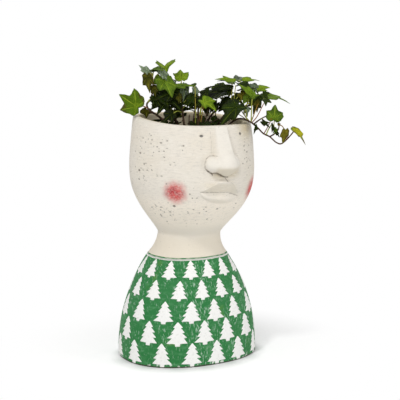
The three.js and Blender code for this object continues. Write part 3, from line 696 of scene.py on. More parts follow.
# one tree: a grid of outline rows by shares across, as wide as the outline says, laid on the torso;
# the outermost shares and the first and last rows drop into the skin, where a back closes the plate
def treePart(first, low, high, width, number):
    t = trees
    shares = np.array(t["shares"])[None]
    outline = np.array(t["outline"])
    levels = np.union1d(outline[:, 0], np.arange(0, 1, t["rowStep"]))[:, None]
    ragged = 1 + chance.normal(0, t["edgeJitter"], (len(outline), 2))
    widths = 0.5 * width * chance.normal(1, t["widthJitter"]) * outline[:, 1:] * ragged
    left, right = (np.interp(levels, outline[:, 0], widths[:, side]) for side in (0, 1))
    middle = math.radians(first + number * 360 / t["count"] + chance.normal(0, t["turnJitter"]))
    tall = (high - low) * chance.normal(1, t["tallJitter"])
    half = np.where(shares < 0, left, right)
    lean = chance.normal(0, t["leanJitter"]) * tall * levels
    sag = t["sag"] * tall * shares ** 2 * (half / widths.max()) * (levels > t["trunkTop"])
    height = np.maximum(low + tall * levels - sag, t["lowest"])
    edge = (np.abs(shares) == 1) | (levels == 0) | (levels == levels.max())
    reach = np.linalg.norm(skinPoints(np.array([middle]), np.array([0.5 * (low + high)]))[0, :2])
    angle = middle + (shares * half + lean) / reach
    footTurn = np.clip(1 - height / bust["baseEdge"], 0, 1)
    footInset = bust["baseEdge"] * (1 - np.sqrt(1 - footTurn ** 2))
    skin = torsoRelief(angle, height)
    front = skinPoints(angle, height, footInset, skin + np.where(edge, t["sunk"], t["proud"]))
    back = skinPoints(angle, height, footInset, skin + t["back"])
    grid = np.concatenate([front, back[:, ::-1]], axis=1)
    rows, columns = grid.shape[:2]
    faces = gridQuads(rows, columns).tolist()
    faces.append(list(reversed(range(columns))))
    faces.append([(rows - 1) * columns + column for column in range(columns)])
    return grid.reshape(-1, 3), faces


def makeTrees(finish):
    parts = [treePart(*row, number) for row in trees["rows"] for number in range(trees["count"])]
    points, faces = joinParts(parts)
    makePiece("fir_tree_rows", points, faces, finish, "pot")
    print("trees made:", len(faces), "faces")


# turned pieces: a profile of (radius, height) carried round the axis, with its ends closed on the axis
def turnedPart(profile, sides):
    profile = np.asarray(profile, float)
    angle = fullTurn(sides)[None]
    radius, height = profile[1:-1, :1], profile[1:-1, 1:]
    rings = [radius * np.sin(angle), -radius * np.cos(angle), height]
    rings = np.stack(np.broadcast_arrays(*rings), -1).reshape(-1, 3)
    ends = np.array([[0, 0, profile[0, 1]], [0, 0, profile[-1, 1]]])
    faces = gridQuads(len(profile) - 2, sides).tolist()
    faces += fan(len(rings), 0, sides, False)
    faces += fan(len(rings) + 1, len(rings) - sides, sides, True)
    return np.vstack([rings, ends]), faces


plug = {
    "dish": [[0, 0.9], [3.2, 0.9], [3.6, 0.2], [4.6, 0.0]], "flange": 12, "flangeHeight": 3, "lip": 0.5,
    "shank": 7.7, "shankFoot": 3.6, "shankTop": 12, "ribs": 9, "ribReach": 0.25, "ribFoot": 4, "ribTop": 11,
    "tip": [5.9, 13.7], "endRadius": 5.3, "top": 14, "sides": 64, "crease": 40,
}


# the plug: a dished flange, a shank with fine ribs and a blunt tip, turned as one profile
def makePlug(finish):
    p = plug
    lip, wide, level, shank = p["lip"], p["flange"], p["flangeHeight"], p["shank"]
    flange = [[wide - lip, 0.0], [wide, lip], [wide, level - lip], [wide - lip, level], [shank + lip, level]]
    rows = np.linspace(p["ribFoot"], p["ribTop"], p["ribs"])
    ribs = [[shank + p["ribReach"] * (step % 2), row] for step, row in enumerate(rows)]
    end = [[shank, p["shankTop"]], p["tip"], [p["endRadius"], p["top"]], [0, p["top"]]]
    profile = [*p["dish"], *flange, [shank, p["shankFoot"]], *ribs, *end]
    points, faces = turnedPart(profile, p["sides"])
    makePiece("rubber_drain_plug", points, faces, finish, "plug", ["drain_plug"],
              crease=p["crease"])
    print("plug made")


# the plant's own frame: on the ledge, turned to the side that it is usually seen from
plant = {"turn": 29, "soilLevel": 278.2, "potFoot": 181.3}


# points turned about the upright axis, moved forward with the head and lifted to a level
def plantPoints(points, level=plant["soilLevel"]):
    turn = math.radians(plant["turn"])
    x, y, z = np.moveaxis(np.asarray(points, float), -1, 0)
    ahead = math.cos(turn) * y - math.sin(turn) * x - bust["headForward"]
    return np.stack([math.cos(turn) * x + math.sin(turn) * y, ahead, z + level], -1)


grower = {
    "base": 37, "top": 50.5, "tall": 101.9, "lipWidth": 3, "lipHeight": 8, "topBead": 0.9, "lowBead": 0.6,
    "ribShares": [0.62, 0.3], "rib": 0.5, "around": 96, "section": 10, "crease": 35, "mergeGap": 1e-6,
}


# a bead round the pot: a small circle carried round the axis
def beadPart(radius, height, size):
    around, section = fullTurn(grower["around"])[:, None], fullTurn(grower["section"])[None]
    ring = radius + size * np.cos(section)
    points = [ring * np.sin(around), -ring * np.cos(around), height + size * np.sin(section)]
    points = np.stack(np.broadcast_arrays(*points), -1).reshape(-1, 3)
    faces = gridQuads(grower["around"], grower["section"], looped=True)[:, ::-1].tolist()
    return plantPoints(points, plant["potFoot"]), faces


# the grower pot is a merged copy of its solid, which has the drain holes, with beads round its lip and wall
def makeGrowerPot(finish):
    g = grower
    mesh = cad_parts["grower_pot"].data.copy()
    work = bmesh.new()
    work.from_mesh(mesh)
    bmesh.ops.remove_doubles(work, verts=work.verts, dist=g["mergeGap"])
    work.to_mesh(mesh)
    work.free()
    mesh.name = "black_grower_pot"
    mesh.materials.clear()
    placePiece("black_grower_pot", mesh, finish, "plant", ["grower_pot"], g["crease"])

    lip = g["top"] + g["lipWidth"]
    parts = [beadPart(lip, g["tall"] - g["topBead"], g["topBead"])]
    parts.append(beadPart(lip, g["tall"] - g["lipHeight"] + g["lowBead"], g["lowBead"]))
    for share in g["ribShares"]:
        parts.append(beadPart(mix(g["base"], g["top"], share), share * g["tall"], g["rib"]))
    points, faces = joinParts(parts)
    makePiece("grower_pot_beads", points, faces, finish, "plant")
    print("grower pot made")


# waves of the compost: size, rates along x and y, then the size and rates of the wave that bends it
soil = {
    "foot": 1.7, "footRadius": 35.5, "footRings": [12, 26], "level": 93.9, "levelRadius": 47.2, "crown": 3,
    "sides": 120, "sideRows": 14, "sideTop": 0.985, "crownRows": 26, "crownMiddle": 0.06,
    "waves": [[0.55, 0.9, 0, 1.3, 0, 0.7], [0.5, 0, 1.1, 1.7, 0.6, 0], [0.35, 2.1, -1.6, 0, 0, 0]],
    "sunk": 0.6, "topBelow": 0.4, "topSoft": 0.8, "edgeSoft": 3, "crumbs": 320, "crumbReach": 0.95,
    "crumbLift": 0.1, "crumbSides": 7, "crumbRings": [-40, 10, 50], "crumbSize": (0.7, 2.4),
    "crumbShape": (0.5, 1.1), "crumbRough": (0.75, 1.2),
}


# a shallow dome: its rise falls with the square of the share of the radius
def crownHeight(share):
    return soil["level"] + soil["crown"] * (1 - share ** 2)


# compost: a turned ball whose top is a crown roughened by sines
def soilPart():
    s = soil
    ups = np.linspace(0, s["sideTop"], s["sideRows"])
    side = [[mix(s["footRadius"], s["levelRadius"], up), mix(s["foot"], s["level"], up)] for up in ups]
    shares = np.linspace(1, s["crownMiddle"], s["crownRows"])
    crown = [[s["levelRadius"] * share, crownHeight(share)] for share in shares]
    foot = [[radius, s["foot"]] for radius in (0, *s["footRings"])]
    points, faces = turnedPart([*foot, *side, *crown, [0, crownHeight(0)]], s["sides"])
    x, y, z = points.T
    onTop = smooth((z - s["level"] + s["topBelow"]) / s["topSoft"])
    onTop = onTop * smooth((s["levelRadius"] - np.hypot(x, y)) / s["edgeSoft"])
    rough = -s["sunk"]
    for size, rateX, rateY, bend, bendX, bendY in s["waves"]:
        rough = rough + size * np.sin(rateX * x + rateY * y + bend * np.sin(bendX * x + bendY * y))
    points[:, 2] += onTop * rough
    return plantPoints(points, plant["potFoot"]), faces


# the compost with its crumbs: small turned balls, each pulled out of shape and strewn on the crown
def makeSoil(finish):
    s = soil
    parts = [soilPart()]
    rings = np.radians(s["crumbRings"])
    girdle = np.stack([np.cos(rings), np.sin(rings)], -1)
    ball, ballFaces = turnedPart([[0, -1], *girdle, [0, 1]], s["crumbSides"])
    for _ in range(s["crumbs"]):
        share = s["crumbReach"] * math.sqrt(chance.uniform())
        turn = chance.uniform(0, 2 * np.pi)
        size = chance.uniform(*s["crumbSize"]) * chance.uniform(*s["crumbShape"], 3)
        lump = ball * size * chance.uniform(*s["crumbRough"], (len(ball), 1))
        radius = s["levelRadius"] * share
        middle = [radius * math.sin(turn), -radius * math.cos(turn), crownHeight(share) + s["crumbLift"]]
        parts.append((plantPoints(lump + middle, plant["potFoot"]), ballFaces))
    points, faces = joinParts(parts)
    makePiece("compost", points, faces, finish, "plant", ["root_ball"])
    print("compost made:", len(faces), "faces")


# ivy: stem routes from the soil's crown, x to the right as usually seen, y to the back, z up
ivyRoutes = {
    "left": [[-14, -8], [-28, -11, 12], [-43, -14, 26], [-52, -18, 32], [-55, -16, 39], [-50, -12, 46],
             [-48, -6, 58], [-48, 0, 68], [-49, 4, 76]],
    "left_inner": [[-8, -2], [-17, -3, 12], [-25, -4, 30], [-33, -4, 46], [-36, 1, 60], [-33, 8, 74]],
    "middle": [[-3, -12], [-8, -11, 4], [-10, -10, 18], [-12, -8, 34], [-13, 3, 50], [-13, 12, 64]],
    "front": [[4, -20], [7, -21, 8], [10, -22, 26]],
    "back": [[6, 5], [7, 8, 8], [8, 12, 26], [8, 18, 44], [6, 24, 56]],
    "right_back": [[12, 4], [16, 5, 8], [24, 6, 24], [38, 8, 37], [48, 14, 50], [52, 22, 60]],
    "right_inner": [[22, -6], [31, -6, 12], [43, -4, 28], [57, 0, 40], [62, 6, 52], [63, 13, 63]],
    "right": [[27, -14], [37, -15, 12], [50, -14, 27], [68, -10, 36], [78, -3, 44], [83, 5, 50]],
    "runner": [[32, -20], [42, -22, 10], [52, -24, 20], [60, -25, 22], [67, -26, 20], [73, -27, 17],
               [78, -27, 13], [83, -27, 8], [87, -26, 4], [95, -25, 0], [103, -24, -7], [109, -22, -9],
               [116, -21, -4], [124, -20, 5]],
}
ivyShoots = {
    "runner_shoot": ["runner", 0.5, [[7, 3, 5], [15, 6, 9], [22, 9, 10]]],
    "runner_sprig": ["runner", 0.7, [[7, 3, 4], [11, 5, 9], [12, 6, 15]]],
}
stems = {
    "rootDepth": 12, "radius": 1.6, "thin": {"runner": 1.3, "runner_shoot": 1.0, "runner_sprig": 1.0},
    "taper": 0.55, "sides": 10, "step": 1.6, "leastSteps": 12, "knot": 0.16, "knotRate": 40, "knotPower": 6,
}

# leaves: stem and share along it, stalk to the blade, blade from stalk to tip, width, upper side's facing,
# tone, and the fold where it isn't the usual one
ivyLeaves = [
    ["left_inner", 0.99, [0, 2, 11], [2, -13, -6], 24, [0, -0.4, 0.9], "lime", 0.85],
    ["left", 0.95, [2, -9, 9], [12, -14, 3], 18, [0, -0.25, 1], "mid"],
    ["left", 0.98, [-5, 5, 3], [-13, 6, 11], 10, [-0.4, -0.6, 0.7], "grey"],
    ["left", 0.8, [-6, -10, 16], [2, -9, -18], 14, [-0.2, -0.9, 0.4], "olive"],
    ["left", 0.74, [2, -6, 9], [3, -9, -10], 9, [-0.1, -0.8, 0.6], "olive"],
    ["left_inner", 0.8, [2, -16, 10], [11, -14, -18], 24, [0.1, -0.7, 0.7], "mid"],
    ["left_inner", 0.62, [-2, -8, 6], [22, -8, -11], 27, [0, -0.5, 0.9], "dark"],
    ["left_inner", 0.9, [2, 12, 3], [15, 14, 1], 18, [0, -0.2, 1], "grey"],
    ["middle", 0.99, [0, 3, 6], [-1, 8, 13], 20, [0, -0.8, 0.5], "lime", 0.3],
    ["back", 0.98, [-7, 3, 6], [-14, 14, 1], 17, [0, -0.2, 1], "mid"],
    ["middle", 0.74, [4, -8, 15], [-1, -9, -18], 12, [0.2, -0.9, 0.3], "grey"],
    ["back", 0.66, [-6, -9, 12], [4, -10, -13], 12, [0, -0.8, 0.5], "dark"],
    ["middle", 0.5, [-13, -16, -1], [-11, -5, -8], 17, [-0.2, -0.8, 0.5], "dark"],
    ["left", 0.56, [-14, -8, 3], [-21, -5, 15], 29, [-0.25, -0.95, 0.2], "lime"],
    ["left", 0.46, [-10, 7, 4], [-1, -4, -9], 16, [-0.1, -0.7, 0.7], "olive"],
    ["front", 0.98, [5, -4, 18], [15, -10, -10], 18, [0.3, -0.8, 0.5], "lime"],
    ["right_back", 0.66, [0, -10, 16], [-30, -12, -12], 27, [-0.2, -0.4, 0.9], "dark"],
    ["right_back", 0.85, [-6, 8, 6], [-25, 14, 8], 18, [0.1, -0.1, 1], "dark"],
    ["right_back", 0.99, [-3, 7, 5], [-14, 14, 8], 16, [0.2, -0.1, 1], "mid"],
    ["right_inner", 0.99, [-5, 12, 5], [8, 12, 8], 15, [0, -0.5, 0.8], "grey"],
    ["right_inner", 0.96, [5, 2, 7], [17, 2, 4], 16, [0.1, -0.3, 0.9], "lime"],
    ["right_inner", 0.78, [2, -8, 11], [17, -9, 4], 18, [0.1, -0.3, 1], "dark"],
    ["right", 0.98, [0, 5, 6], [16, 7, 7], 16, [0.2, -0.4, 0.9], "lime"],
    ["runner", 0.47, [1, -2, 34], [-16, -2, 14], 10, [-0.4, -0.6, 0.7], "mid"],
    ["right", 0.92, [14, -3, 2], [26, -10, -1], 18, [0, -0.3, 1], "mid"],
    ["right", 0.98, [8, 12, -3], [5, 13, -8], 16, [0.3, 0.3, 0.8], "dark"],
    ["right", 0.8, [5, -5, 5], [-2, -3, -18], 15, [0.3, -0.9, 0.4], "dark"],
    ["runner_shoot", 0.97, [4, -4, -3], [2, 5, 17], 23, [0.1, -0.95, 0.3], "mid"],
    ["right", 0.5, [4, -16, 9], [-23, -12, -19], 28, [-0.2, -0.7, 0.7], "dark"],
    ["right_inner", 0.66, [10, 8, -3], [7, 11, -6], 14, [0.3, 0.2, 0.9], "dark"],
    ["runner_shoot", 0.5, [1, -5, -4], [8, -5, -6], 8, [0, -0.8, 0.6], "dark"],
    ["runner", 0.99, [3, 1, 3], [14, -7, -13], 11, [0.5, -0.7, 0.5], "lime", 0.4],
    ["runner", 0.9, [-2, -6, 11], [-3, -4, -15], 11, [0.2, -0.9, 0.3], "olive"],
    ["runner", 0.51, [1, -5, -1], [0, -2, -10], 6, [0.6, -0.7, 0.2], "dark"],
    ["runner", 0.66, [7, -4, 13], [2, -3, -9], 6, [0.7, -0.6, 0.2], "dark"],
    ["runner_sprig", 0.5, [-1, -4, 4], [-4, -4, -5], 6, [0.2, -0.8, 0.4], "mid"],
    ["middle", 0.72, [3, 15, -2], [20, 3, -8], 22, [0, -0.5, 0.9], "dark"],
    ["back", 0.5, [-12, 14, 8], [-18, 16, -6], 26, [-0.2, 0.3, 0.9], "dark"],
    ["back", 0.62, [8, 14, 4], [6, 22, -8], 26, [0.2, 0.3, 0.9], "mid"],
    ["left_inner", 0.5, [-8, 16, 8], [-20, 14, -8], 26, [-0.3, 0.2, 0.9], "mid"],
    ["right_back", 0.5, [6, 18, 8], [16, 14, -3], 22, [0.3, 0.3, 0.9], "dark"],
    ["middle", 0.4, [-4, 16, 4], [-12, 20, -6], 22, [-0.2, 0.3, 0.9], "dark"],
    ["front", 0.6, [8, -8, 5], [8, -17, -6], 18, [0.2, -0.5, 0.8], "dark"],
    ["left", 0.26, [-8, 14, 5], [-18, 14, -4], 22, [-0.3, 0.2, 0.9], "dark"],
]


# a smooth curve through points: cubic spans whose end slopes come from the points on either side, timed by
# the root of the distances between them; the two ends are carried on straight
def curveThrough(route, perSpan=20):
    route = np.asarray(route, float)
    p = np.vstack([2 * route[0] - route[1], route, 2 * route[-1] - route[-2]])
    gap = np.sqrt(np.linalg.norm(np.diff(p, axis=0), axis=1))[:, None]
    a, b, c, d = p[:-3], p[1:-2], p[2:-1], p[3:]
    gapA, gapB, gapC = gap[:-2], gap[1:-1], gap[2:]
    leave = ((b - a) / gapA - (c - a) / (gapA + gapB) + (c - b) / gapB) * gapB
    arrive = ((c - b) / gapB - (d - b) / (gapB + gapC) + (d - c) / gapC) * gapB
    t = np.linspace(0, 1, perSpan, endpoint=False)[None, :, None]
    b, c, leave, arrive = b[:, None], c[:, None], leave[:, None], arrive[:, None]
    spans = ((2 * t ** 3 - 3 * t ** 2 + 1) * b + (t ** 3 - 2 * t ** 2 + t) * leave
             + (3 * t ** 2 - 2 * t ** 3) * c + (t ** 3 - t ** 2) * arrive)
    return np.vstack([spans.reshape(-1, 3), route[-1:]])


# length run along a curve at each of its points
def runAlong(curve):
    return np.concatenate([[0], np.cumsum(np.linalg.norm(np.diff(curve, axis=0), axis=1))])


# points at given shares of a curve's length
def alongCurve(curve, shares):
    run = runAlong(curve)
    place = np.asarray(shares) * run[-1]
    return np.stack([np.interp(place, run, curve[:, axis]) for axis in range(3)], -1)


# a tube: rings square to the path, each with its own radius, closed by a flat cap at either end
def tubePart(path, radii, sides):
    steady = [0.08, 1.0, 0.05]  # all rings are turned by this one way, so they don't twist
    along = unit(np.gradient(path, axis=0))
    across = unit(np.cross(along, steady))
    over = np.cross(across, along)
    turn = fullTurn(sides)[None, :, None]
    ring = np.cos(turn) * across[:, None] + np.sin(turn) * over[:, None]
    rings = path[:, None] + radii[:, None, None] * ring
    faces = gridQuads(len(path), sides)[:, ::-1].tolist()
    last = (len(path) - 1) * sides
    faces.append(list(range(sides)))
    faces.append([last + side for side in reversed(range(sides))])
    return rings.reshape(-1, 3), faces


# stems from their roots, then the shoots that start part of the way along a stem
def stemCurves():
    curves = {}
    for name, (root, *route) in ivyRoutes.items():
        curves[name] = curveThrough([[*root, -stems["rootDepth"]], *route])
    for name, (stem, share, route) in ivyShoots.items():
        start = alongCurve(curves[stem], [share])[0]
        curves[name] = curveThrough([start, *(start + np.array(offset) for offset in route)])
    return curves


# stems taper to their tips and swell a little at each joint
def makeStems(finish, curves):
    s = stems
    for name, curve in curves.items():
        shares = np.linspace(0, 1, max(s["leastSteps"], int(runAlong(curve)[-1] / s["step"])))
        knots = 1 + s["knot"] * np.maximum(0, np.sin(shares * s["knotRate"])) ** s["knotPower"]
        radii = s["thin"].get(name, s["radius"]) * mix(1.0, s["taper"], shares) * knots
        points, faces = tubePart(alongCurve(curve, shares), radii, s["sides"])
        layers = {"tip": np.repeat(shares, s["sides"])}
        node = "ivy_stem_" + name
        makePiece("stem_" + name, plantPoints(points), faces, finish, "plant", [node], layers)
    print("stems made:", len(curves))


# a leaf: lobes and bays by their angle from the midrib and their share of its length, columns at the angles
# of half a blade, rows at shares of the way out; other values are shares of the length, or in millimetres
leaf = {
    "lobes": [0, 22, 46, 76, 112, 150, 180], "reach": [1.0, 0.58, 0.72, 0.48, 0.43, 0.32, 0.13],
    "lobePower": 1.45,
    "half": [0, 2.5, 6, 11, 16, 22, 28, 34, 39, 43, 46, 49, 53, 59, 67, 76, 86, 96, 104, 109, 112, 115, 121,
             130, 140, 150, 163, 180],
    "rows": [0.07, 0.2, 0.36, 0.52, 0.67, 0.81, 0.92, 1.0], "widestLobe": 2, "thick": 0.35, "fold": 0.2,
    "droop": 0.22, "wave": 0.05, "waves": 3, "quilt": 0.03, "vary": 0.09, "varyShares": (0.5, 1.5),
    "phase": 6, "ragged": 0.035, "raggedWaves": 9, "jitter": 0.012, "veins": [0, 46, 112], "veinHalf": 4.5,
    "veinFade": 0.45, "stalk": 0.75, "stalkTip": 0.7, "stalkArch": 0.12, "stalkBelow": 0.6, "stalkLap": 1.6,
    "stalkSides": 6, "stalkSteps": 5,
}


# reach of the blade at an angle from its midrib: it grows from bay to lobe by a power of the share of the
# way, so that lobes are pointed and bays are round
def leafReach(degrees, reaches):
    knots = np.array(leaf["lobes"], float)
    degrees = np.abs(degrees)
    index = np.clip(np.searchsorted(knots, degrees, side="right") - 1, 0, len(knots) - 2)
    start, end = reaches[index], reaches[index + 1]
    share = (degrees - knots[index]) / (knots[index + 1] - knots[index])
    low, high = np.minimum(start, end), np.maximum(start, end)
    return low + (high - low) * np.where(start > end, 1 - share, share) ** leaf["lobePower"]


# a blade: a polar grid about the stalk, folded along the midrib, drooping to its tip, waved at the margin
# and quilted between the veins; the underside is the same grid let down by the thickness
def bladePart(length, width, along, across, up, foldSet):
    p = leaf
    half = np.array(p["half"], float)
    degrees = np.concatenate([-half[:0:-1], half[:-1]])
    turn = np.radians(degrees)
    rows = np.array(p["rows"])[:, None]
    columns, count = len(turn), len(turn) * len(rows)
    ragged = 1 + p["ragged"] * np.sin(turn * p["raggedWaves"] + chance.uniform(0, p["phase"]))
    ragged = ragged + chance.normal(0, p["jitter"], columns)
    plans = np.array(p["reach"]) * chance.normal(1, p["vary"], (2, len(p["reach"])))
    plans[:, 0] = 1
    plans[1, -1] = plans[0, -1]
    lobed = np.where(degrees < 0, leafReach(degrees, plans[0]), leafReach(degrees, plans[1]))
    reach = rows * lobed * ragged
    widest = p["widestLobe"]
    naturalWidth = 2 * p["reach"][widest] * math.sin(math.radians(p["lobes"][widest]))
    x = reach * np.sin(turn) * width / naturalWidth
    y = reach * np.cos(turn) * length
    fromVein = np.min(np.abs(np.abs(degrees)[:, None] - np.array(p["veins"])), axis=1)
    vein = bell(fromVein / p["veinHalf"]) * (1 - p["veinFade"] * rows ** 2)
    fold, droop, wave = (p[key] * chance.uniform(*p["varyShares"]) for key in ("fold", "droop", "wave"))
    z = (foldSet or fold) * np.abs(x) - droop * y * np.abs(y) / length
    z = z + wave * length * rows ** 2 * np.sin(p["waves"] * turn + chance.uniform(0, p["phase"]))
    z = z + p["quilt"] * length * (1 - vein) * 4 * rows * (1 - rows)
    top = x[..., None] * across + y[..., None] * along + z[..., None] * up
    top = np.vstack([top.reshape(-1, 3), np.zeros((1, 3))])
    points = np.vstack([top, top - p["thick"] * up])

    below = count + 1
    upper = gridQuads(len(rows), columns)
    edge = count - columns + np.arange(columns)
    beside = np.roll(edge, -1)
    rim = np.stack([edge, beside, beside + below, edge + below], -1)
    faces = upper.tolist() + (upper[:, ::-1] + below).tolist() + rim.tolist()
    faces += fan(count, 0, columns, False) + fan(count + below, below, columns, True)
    veins = np.tile(np.append(vein, 1.0), 2)
    margins = np.tile(np.append(np.repeat(rows, columns), 0.0), 2)
    return points, faces, {"vein": veins, "margin": margins, "under": np.repeat([0.0, 1.0], below)}


# a leaf in the plant's frame: blade and stalk, with layers for the finish
def leafPart(start, stalk, blade, width, facing, fold=None, depth=None, scorch=0.0):
    p = leaf
    stalk, blade = np.array(stalk, float), np.array(blade, float)
    joint = start + stalk
    along = unit(blade)
    across = unit(np.cross(along, np.array(facing, float)))
    up = np.cross(across, along)
    points, faces, layers = bladePart(np.linalg.norm(blade), width, along, across, up, fold)
    middle = start + 0.5 * stalk + [0, 0, p["stalkArch"] * np.linalg.norm(stalk)]
    under = joint - (p["thick"] + p["stalkBelow"] * p["stalk"]) * up
    path = curveThrough([start, middle, under, under + p["stalkLap"] * along], p["stalkSteps"])
    radii = p["stalk"] * np.linspace(1.0, p["stalkTip"], len(path))
    stalkPart = tubePart(path, radii, p["stalkSides"])
    joined, allFaces = joinParts([(points + joint, faces), stalkPart])
    onStalk = np.arange(len(joined)) >= len(points)
    layers = {name: np.pad(values, (0, len(stalkPart[0]))) for name, values in layers.items()}
    drawn = chance.uniform(0, 1)
    layers["stalk"] = onStalk
    layers["tint"] = np.full(len(joined), drawn if depth is None else depth)
    layers["scorch"] = np.full(len(joined), scorch)
    return joined, allFaces, layers


def placeLeaf(kind, number, tone, part, finishes, replaces=()):
    points, faces, layers = part
    name = "%s_%02d_%s" % (kind, number, tone)
    makePiece(name, plantPoints(points), faces, finishes[tone], "plant", replaces, layers)


# leaves that are set apart by their depth of colour, 0 bright to 1 deep, which also paints how lit or shaded
# each one is, or by scorched margins
leafLooks = {
    3: {"depth": 0.1}, 4: {"depth": 0.7, "scorch": 0.2}, 5: {"depth": 0.9, "scorch": 0.3}, 6: {"depth": 0.3},
    8: {"depth": 0.2}, 9: {"depth": 0.1}, 11: {"depth": 1.0}, 13: {"depth": 1.0},
    14: {"depth": 1.0, "scorch": 0.7}, 15: {"depth": 0.6, "scorch": 0.2}, 16: {"depth": 0.4},
    20: {"depth": 0.8}, 21: {"depth": 0.1}, 23: {"depth": 0.2}, 24: {"depth": 0.0}, 25: {"depth": 0.1},
    28: {"depth": 0.5},
    32: {"depth": 0.1, "scorch": 0.9}, 33: {"depth": 0.0, "scorch": 0.7},
}


def makeLeaves(finishes, curves):
    for number, (stem, share, stalk, blade, width, facing, tone, *fold) in enumerate(ivyLeaves, 1):
        start = alongCurve(curves[stem], [share])[0]
        part = leafPart(start, stalk, blade, width, facing, *fold, **leafLooks.get(number, {}))
        placeLeaf("leaf", number, tone, part, finishes, ["ivy_leaf_%02d" % number])
    print("leaves made:", len(ivyLeaves))


# inner leaves that close the foliage, most in the dark tone that paints the shade inside it: stem and share
# along it, place of joint, blade, width, facing, tone
innerLeaves = [
    ["left", 0.97, [-46, -6, 80], [13, -10, 5], 13, [0, -0.55, 0.8], "mid"],
    ["left", 0.9, [-38, -12, 78], [13, -7, -11], 13, [0.3, -0.6, 0.75], "grey"],
    ["middle", 0.8, [-22, -8, 61], [27, -9, 4], 13, [0, -0.45, 0.9], "mid"],
    ["middle", 0.7, [-19, -10, 57], [-3, -5, -16], 14, [0.1, -0.95, 0.3], "dark"],
    ["left_inner", 0.5, [-30, -14, 42], [-14, -8, -14], 17, [-0.2, -0.85, 0.4], "dark"],
    ["middle", 0.62, [1, -14, 48], [-8, -6, -13], 14, [0, -0.9, 0.4], "dark"],
    ["left_inner", 0.66, [-24, -13, 53], [-24, -8, -8], 22, [-0.2, -0.8, 0.55], "dark"],
    ["left_inner", 0.4, [-24, -18, 29], [-9, -6, -8], 12, [0, -0.9, 0.4], "olive"],
    ["middle", 0.66, [-15, 6, 47], [-18, 2, 6], 20, [0, -0.85, 0.4], "dark"],
    ["left_inner", 0.7, [-35, 8, 52], [-13, 6, 12], 20, [0, -0.7, 0.6], "dark"],
    ["left_inner", 0.88, [-39, -9, 71], [-2, -8, -15], 13, [-0.2, -0.85, 0.4], "mid"],
    ["left_inner", 0.82, [-27, 2, 58], [14, -8, 8], 16, [0, -0.6, 0.8], "grey"],
    ["left", 0.62, [-46, -14, 48], [9, -6, -12], 14, [0.1, -0.9, 0.4], "dark"],
    ["middle", 0.6, [-17, -16, 50], [2, -6, -9], 8, [0.2, -0.9, 0.4], "olive"],
    ["back", 0.66, [4, -2, 57], [3, -7, -9], 9, [0, -0.6, 0.8], "grey"],
    ["back", 0.6, [20, -6, 55], [-12, -8, -9], 14, [-0.1, -0.65, 0.75], "dark"],
    ["front", 0.8, [13, -12, 44], [-11, -6, -9], 12, [0, -0.85, 0.5], "dark"],
    ["right_back", 0.46, [30, -8, 39], [-9, -5, -11], 12, [0, -0.9, 0.4], "dark"],
    ["right_back", 0.95, [50, 2, 67], [-19, -8, 6], 12, [0, -0.55, 0.85], "lime"],
    ["right_back", 0.8, [45, -4, 59], [-24, -8, 3], 14, [0, -0.55, 0.85], "dark"],
    ["right_back", 0.9, [38, -2, 62], [-14, -8, -1], 10, [0, -0.6, 0.8], "mid"],
    ["right_inner", 0.9, [59, -2, 62], [16, -8, 1], 12, [0, -0.55, 0.85], "dark"],
    ["right_inner", 0.95, [75, -4, 62], [6, -6, -8], 12, [0.1, -0.6, 0.8], "grey"],
    ["right", 0.7, [73, -14, 48], [9, -6, 3], 15, [0.2, -0.8, 0.55], "mid"],
    ["right", 0.75, [80, -10, 48], [3, -6, -10], 13, [0.2, -0.9, 0.4], "dark"],
    ["right", 0.86, [88, -8, 51], [7, -5, -5], 11, [0.2, -0.8, 0.5], "dark"],
    ["right", 0.62, [79, -14, 42], [1, -5, -13], 11, [0.1, -0.95, 0.3], "olive"],
    ["right_inner", 0.5, [45, -2, 42], [-13, -4, -12], 15, [0, -0.9, 0.4], "dark"],
    ["right_inner", 0.6, [54, -2, 48], [10, -6, -9], 13, [0.2, -0.85, 0.5], "dark"],
    ["runner", 0.42, [66, -20, 34], [2, -5, -9], 8, [0, -0.8, 0.6], "grey"],
    ["runner_sprig", 0.98, [106.5, -20, 14], [0, -2, 4], 4, [0, -0.9, 0.4], "olive"],
    ["runner_sprig", 0.3, [103, -24, 5], [4, -3, -5], 5, [0, -0.9, 0.4], "dark"],
    ["right_inner", 0.75, [65, 6, 52], [11, 6, -8], 16, [0.2, -0.3, 0.9], "dark"],
    ["right_back", 0.7, [51, 10, 52], [-10, 12, 3], 19, [0, 0.3, 0.95], "mid"],
    ["back", 0.7, [-16, 22, 46], [-16, 12, -6], 20, [-0.2, 0.5, 0.8], "dark"],
    ["back", 0.8, [12, 30, 46], [10, 14, -6], 20, [0.2, 0.5, 0.8], "mid"],
    ["right_back", 0.75, [42, 24, 44], [12, 14, -8], 20, [0.3, 0.5, 0.8], "dark"],
    ["left_inner", 0.75, [-40, 16, 44], [-12, 14, -8], 20, [-0.3, 0.5, 0.8], "dark"],
    ["middle", 0.55, [4, -6, 46], [-20, -6, -7], 19, [0, -0.85, 0.5], "dark"],
    ["left_inner", 0.45, [-16, -10, 40], [-13, -6, -6], 15, [0, -0.9, 0.4], "dark"],
    ["right_inner", 0.6, [71, -8, 48], [-9, -5, -9], 13, [0, -0.85, 0.5], "mid"],
    ["right_inner", 0.55, [61, -6, 51], [9, -5, -10], 13, [0.1, -0.9, 0.4], "olive"],
]


def makeInnerLeaves(finishes, curves):
    for number, (stem, share, joint, blade, width, facing, tone) in enumerate(innerLeaves, 1):
        start = alongCurve(curves[stem], [share])[0]
        part = leafPart(start, np.array(joint) - start, blade, width, facing)
        placeLeaf("inner_leaf", number, tone, part, finishes)
    print("inner leaves made:", len(innerLeaves))


